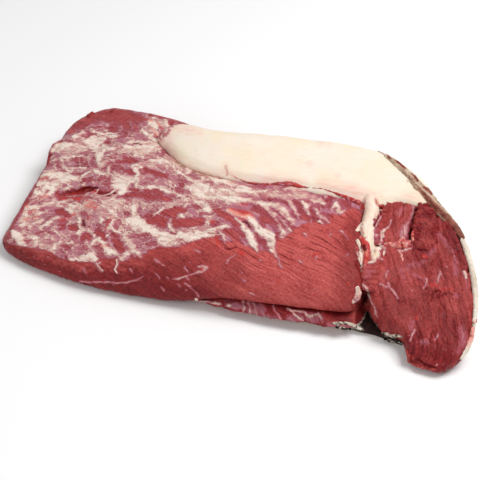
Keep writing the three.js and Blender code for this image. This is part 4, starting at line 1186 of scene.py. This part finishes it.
# blood and a rusty stain on the strand
STRAND_BLOOD = (
    ((376, 200, 1.4), (378, 204, 1.6)), ((358, 236, 1.4), (363, 239, 2)),
    ((364, 202, 1.4), (362, 208, 1.2)), ((370, 247, 1.4), (368, 254, 1.6), (368, 262, 1.4)),
)
STRAND_STAIN = (((361, 228, 0.7), (364, 233, 0.8)),)
web_fat = laid("seam_strand", (
    ((370, 198, 6), (371, 204, 7), (372, 210, 7.6), (372, 214, 6.6),
     (369, 220, 5.5), (366, 226, 5), (365, 232, 4.6), (366, 237, 3)),
    ((363, 224, 2.4), (360, 228, 3), (357, 231, 2.4)),
    ((357.5, 239, 1), (359, 243, 1.8), (360, 246, 1.4)),
    ((359.5, 251, 1.4), (361, 257, 1.9), (361.5, 264, 0.8)),
    ((373, 249, 3), (377, 250, 4.5), (377, 256, 5), (373, 261, 3.6)),
    ((381, 246, 2), (384.5, 249, 1.2), (383.5, 255, 1.2)),
), sunk=0.9)
keep(web_fat, pink=0.6 + 0.4 * rough(spots(web_fat), 6 * MM), blood=marks(web_fat, STRAND_BLOOD, 1.4))
keep(web_fat, stain=marks(web_fat, STRAND_STAIN, 0.8))
dress(web_fat, suet)

tissue = laid("torn_tissue", (
    ((380, 243.5, 1.6), (386, 244, 2.2), (393, 245, 3), (400, 246, 4.6), (406, 245, 5), (411, 243, 3)),
    ((403, 239, 2.6), (400, 242, 3)),
    ((399, 252, 2), (402, 257, 2), (403, 262, 1.4)),
    ((413, 232, 1.6), (412.5, 238, 1.8), (414, 243, 1.6)),
    ((360, 237, 1.8), (363, 241, 3), (366, 246, 4), (367, 252, 3.4),
     (366, 258, 3), (365, 264, 2.6), (364, 270, 1.8), (362.5, 276, 1.2)),
), sunk=0.72, square=0.7 * MM)
left_end = step(on_frame(spots(tissue))[:, 0], 374, 370)
lower_edge = step(on_frame(spots(tissue))[:, 1], 246, 251)
keep(tissue, cover=0.62 + 0.5 * rough(spots(tissue), 4 * MM) + 0.2 * lower_edge - 0.35 * left_end)
keep(tissue, blood=0.7 + 0.5 * rough(spots(tissue), 5 * MM, 2) + 0.3 * left_end)
keep(tissue, bloom=np.full(len(spots(tissue)), 0.9), dark=marks(tissue, POINT_DARK_AND_SHADE, 1))
dress(tissue, lean, 2 * MM)

threads = laid("fat_shreds", (
    ((91, 195, 0.8), (96, 193, 0.8), (99, 188.5, 0.9)),
    ((103, 196, 0.9), (110, 194, 1), (117, 189, 1.1), (125, 186, 0.8)),
    ((207, 230, 1.4), (213, 230, 2), (219, 228, 2), (223, 226, 1.2)),
    ((357.5, 288, 2.2), (358.5, 293, 3.4), (357, 298, 3.4), (353, 302, 1.6)),
    ((356, 240, 0.8), (359, 246, 1.2), (361, 251, 0.9)),
    ((357, 252, 1), (359, 258, 1.5), (361, 264, 1)),
    ((93, 242, 0.8), (96, 239.5, 0.8), (99, 238.5, 0.8)),
    ((95, 262, 0.9), (100, 268, 0.8), (103, 271, 0.7)),
    ((116.5, 259, 0.8), (117, 265, 0.8), (114.5, 269, 0.8), (117, 273.5, 0.7)),
    ((196, 299, 1.6), (199, 301, 1.2)),
), sunk=0.35, square=0.6 * MM)
keep(threads, cover=0.6 + 0.3 * rough(spots(threads), 4 * MM), skin=np.ones(len(spots(threads))))
dress(threads, lean, 2 * MM)

line = laid("seam_tissue", (
    ((170, 157.5, 0.7), (176, 162, 0.9), (183, 167, 0.8), (190, 170.5, 0.7),
     (196, 173, 1), (203, 175.5, 1.1), (211, 177.2, 0.9), (222, 178.6, 0.7)),
), sunk=0.2, square=0.6 * MM)
place = spots(line)
keep(line, stain=0.7 + 0.5 * rough(place, 4 * MM), blood=0.3 + 0.6 * rough(place, 7 * MM, 2))
dress(line, suet, 2 * MM)

# --- Rim and trim ---------------------------------------------------------------------------------
# The cap's rim at the thick end is dried to a brown and grey crust above and soft and raw below, and
# dirty trimmings of cap fat, painted darker underneath as shade, hang out from under the muscles.
# They are laid along the cap's edge.

crust = laid("dried_rim", (
    ((378, 152, 1.2), (384, 155, 1.8), (390, 160, 2.4), (400, 168, 3), (411, 179, 3.2), (418, 189, 3.5)),
    ((418, 187, 3), (426, 196, 4), (435, 206, 4.5), (445, 217, 4.5), (455, 227, 4), (463, 237, 2.5)),
    ((386, 155, 1.5), (396, 162, 2.4), (406, 171, 3), (415, 180, 3.2), (424, 190, 3.6), (433, 200, 4)),
    ((388, 157.5, 1.8), (391, 159, 1.2)),
    ((397, 163, 1.8), (401, 165, 1.8), (404, 168, 1.4)),
    ((412, 175, 1.6), (415, 177, 2)),
    ((423, 187.5, 1.6), (428, 190, 2.4), (431, 194, 2)),
    ((434, 199, 2), (441, 207, 2), (449, 216, 2), (456, 225, 1.8)),
), sunk=0.5)
# where the crust is brown
BROWN = (
    ((398, 166, 1), (406, 173, 1), (414, 182, 1.2), (420, 189, 1.4)),
    ((417, 188, 1), (424, 194, 2.4), (432, 203, 3.2),
     (440, 211, 3.4), (449, 220, 4), (458, 230, 4), (464, 238, 2)),
)
# its dark red scabs
SCAB = (
    ((388, 156.5, 1.4), (391, 158, 1.2)),
    ((395, 160.5, 1), (399, 162.5, 1.6), (403, 166, 1.5), (406, 169, 1)),
    ((412, 174, 1.4), (415.5, 177, 1.8), (418, 181, 1)),
    ((423, 187, 1.2), (428, 189.5, 1.6), (431.5, 193.5, 1.4)),
)
dried = np.maximum(0.88 * marks(crust, BROWN, 1.5), marks(crust, SCAB, 1))
keep(crust, dried=np.maximum(dried, 0.4 + 0.2 * rough(spots(crust), 5 * MM)))
dress(crust, soft_fat)

lip = laid("cap_lip", (
    ((462, 240, 2), (466, 250, 2.8), (471, 265, 3), (474, 280, 3.2),
     (475.5, 295, 3), (475.5, 310, 2.6), (474, 322, 2)),
    ((473, 328, 2), (471, 338, 3), (467, 348, 3), (461, 358, 2)),
), sunk=0.6)
# where the lip is raw
RAW = (((474, 322, 1), (473, 330, 3), (471, 338, 3), (468, 345, 1)),)
keep(lip, dried=0.12 * rough(spots(lip), 8 * MM), raw=marks(lip, RAW, 2))
dress(lip, soft_fat)

trim = laid("dirty_trim", (
    ((382, 333, 1.2), (387, 333.5, 1.8), (392, 336, 1.8), (397, 335.5, 1.6), (402, 337, 1.4)),
    ((385, 339, 1.5), (391, 341, 2), (397, 341, 1.6), (403, 343, 1.4)),
    ((332, 323, 1), (337, 323.5, 1.8), (343, 323, 1.5),
     (349, 323.5, 2), (354, 325, 1.6), (358, 328, 1.8), (363, 330, 1)),
    ((336, 327, 1.2), (342, 328, 1.6), (350, 329, 1.4)),
), sunk=0.4, square=0.6 * MM)
x, y = on_frame(spots(trim)).T
# painted shade along the trimmings' lower side, on top of their patchy dirt
under = 0.7 * step(y + 0.2 * (350 - x), 327, 331)
keep(trim, dirt=np.clip(0.35 + 1.5 * rough(spots(trim), 2.5 * MM, 6) + under, 0, 1))
dress(trim, soft_fat)

# --- Floor and light ------------------------------------------------------------------------------
# The brisket lies on plain matt white paper. A soft box at its back right gives most of the light, a
# larger and weaker one at its front left softens the shadows, and the room round it is evenly pale.

ground = bmesh.new()
bmesh.ops.create_grid(ground, x_segments=1, y_segments=1, size=4)
floor = bpy.data.objects.new("floor", bpy.data.meshes.new("floor"))
ground.to_mesh(floor.data)
ground.free()
bpy.context.scene.collection.objects.link(floor)
paper = bpy.data.materials.new("matt_white_paper")
paper.use_nodes = True
shader = paper.node_tree.nodes["Principled BSDF"]
shader.inputs["Base Color"].default_value = linear("#FAFAFA")
shader.inputs["Roughness"].default_value = 0.9
floor.data.materials.append(paper)


def lamp(name, spot, size, watts):
    """A square soft box of that size in metres, aimed at the brisket."""
    light = bpy.data.objects.new(name, bpy.data.lights.new(name, "AREA"))
    light.data.size, light.data.energy = size, watts
    light.location = spot
    light.rotation_euler = (AIM - Vector(spot)).to_track_quat("-Z", "Y").to_euler()
    bpy.context.scene.collection.objects.link(light)


lamp("key", (0.9, 0.3, 1.7), 1.0, 28)
lamp("fill", (-0.9, -1.4, 1.2), 1.4, 9)
world = bpy.data.worlds.new("room")
world.use_nodes = True
glow = world.node_tree.nodes["Background"]
glow.inputs["Color"].default_value = linear("#FFFFFF")
glow.inputs["Strength"].default_value = 0.4
bpy.context.scene.world = world
bpy.context.scene.view_settings.view_transform = "Standard"
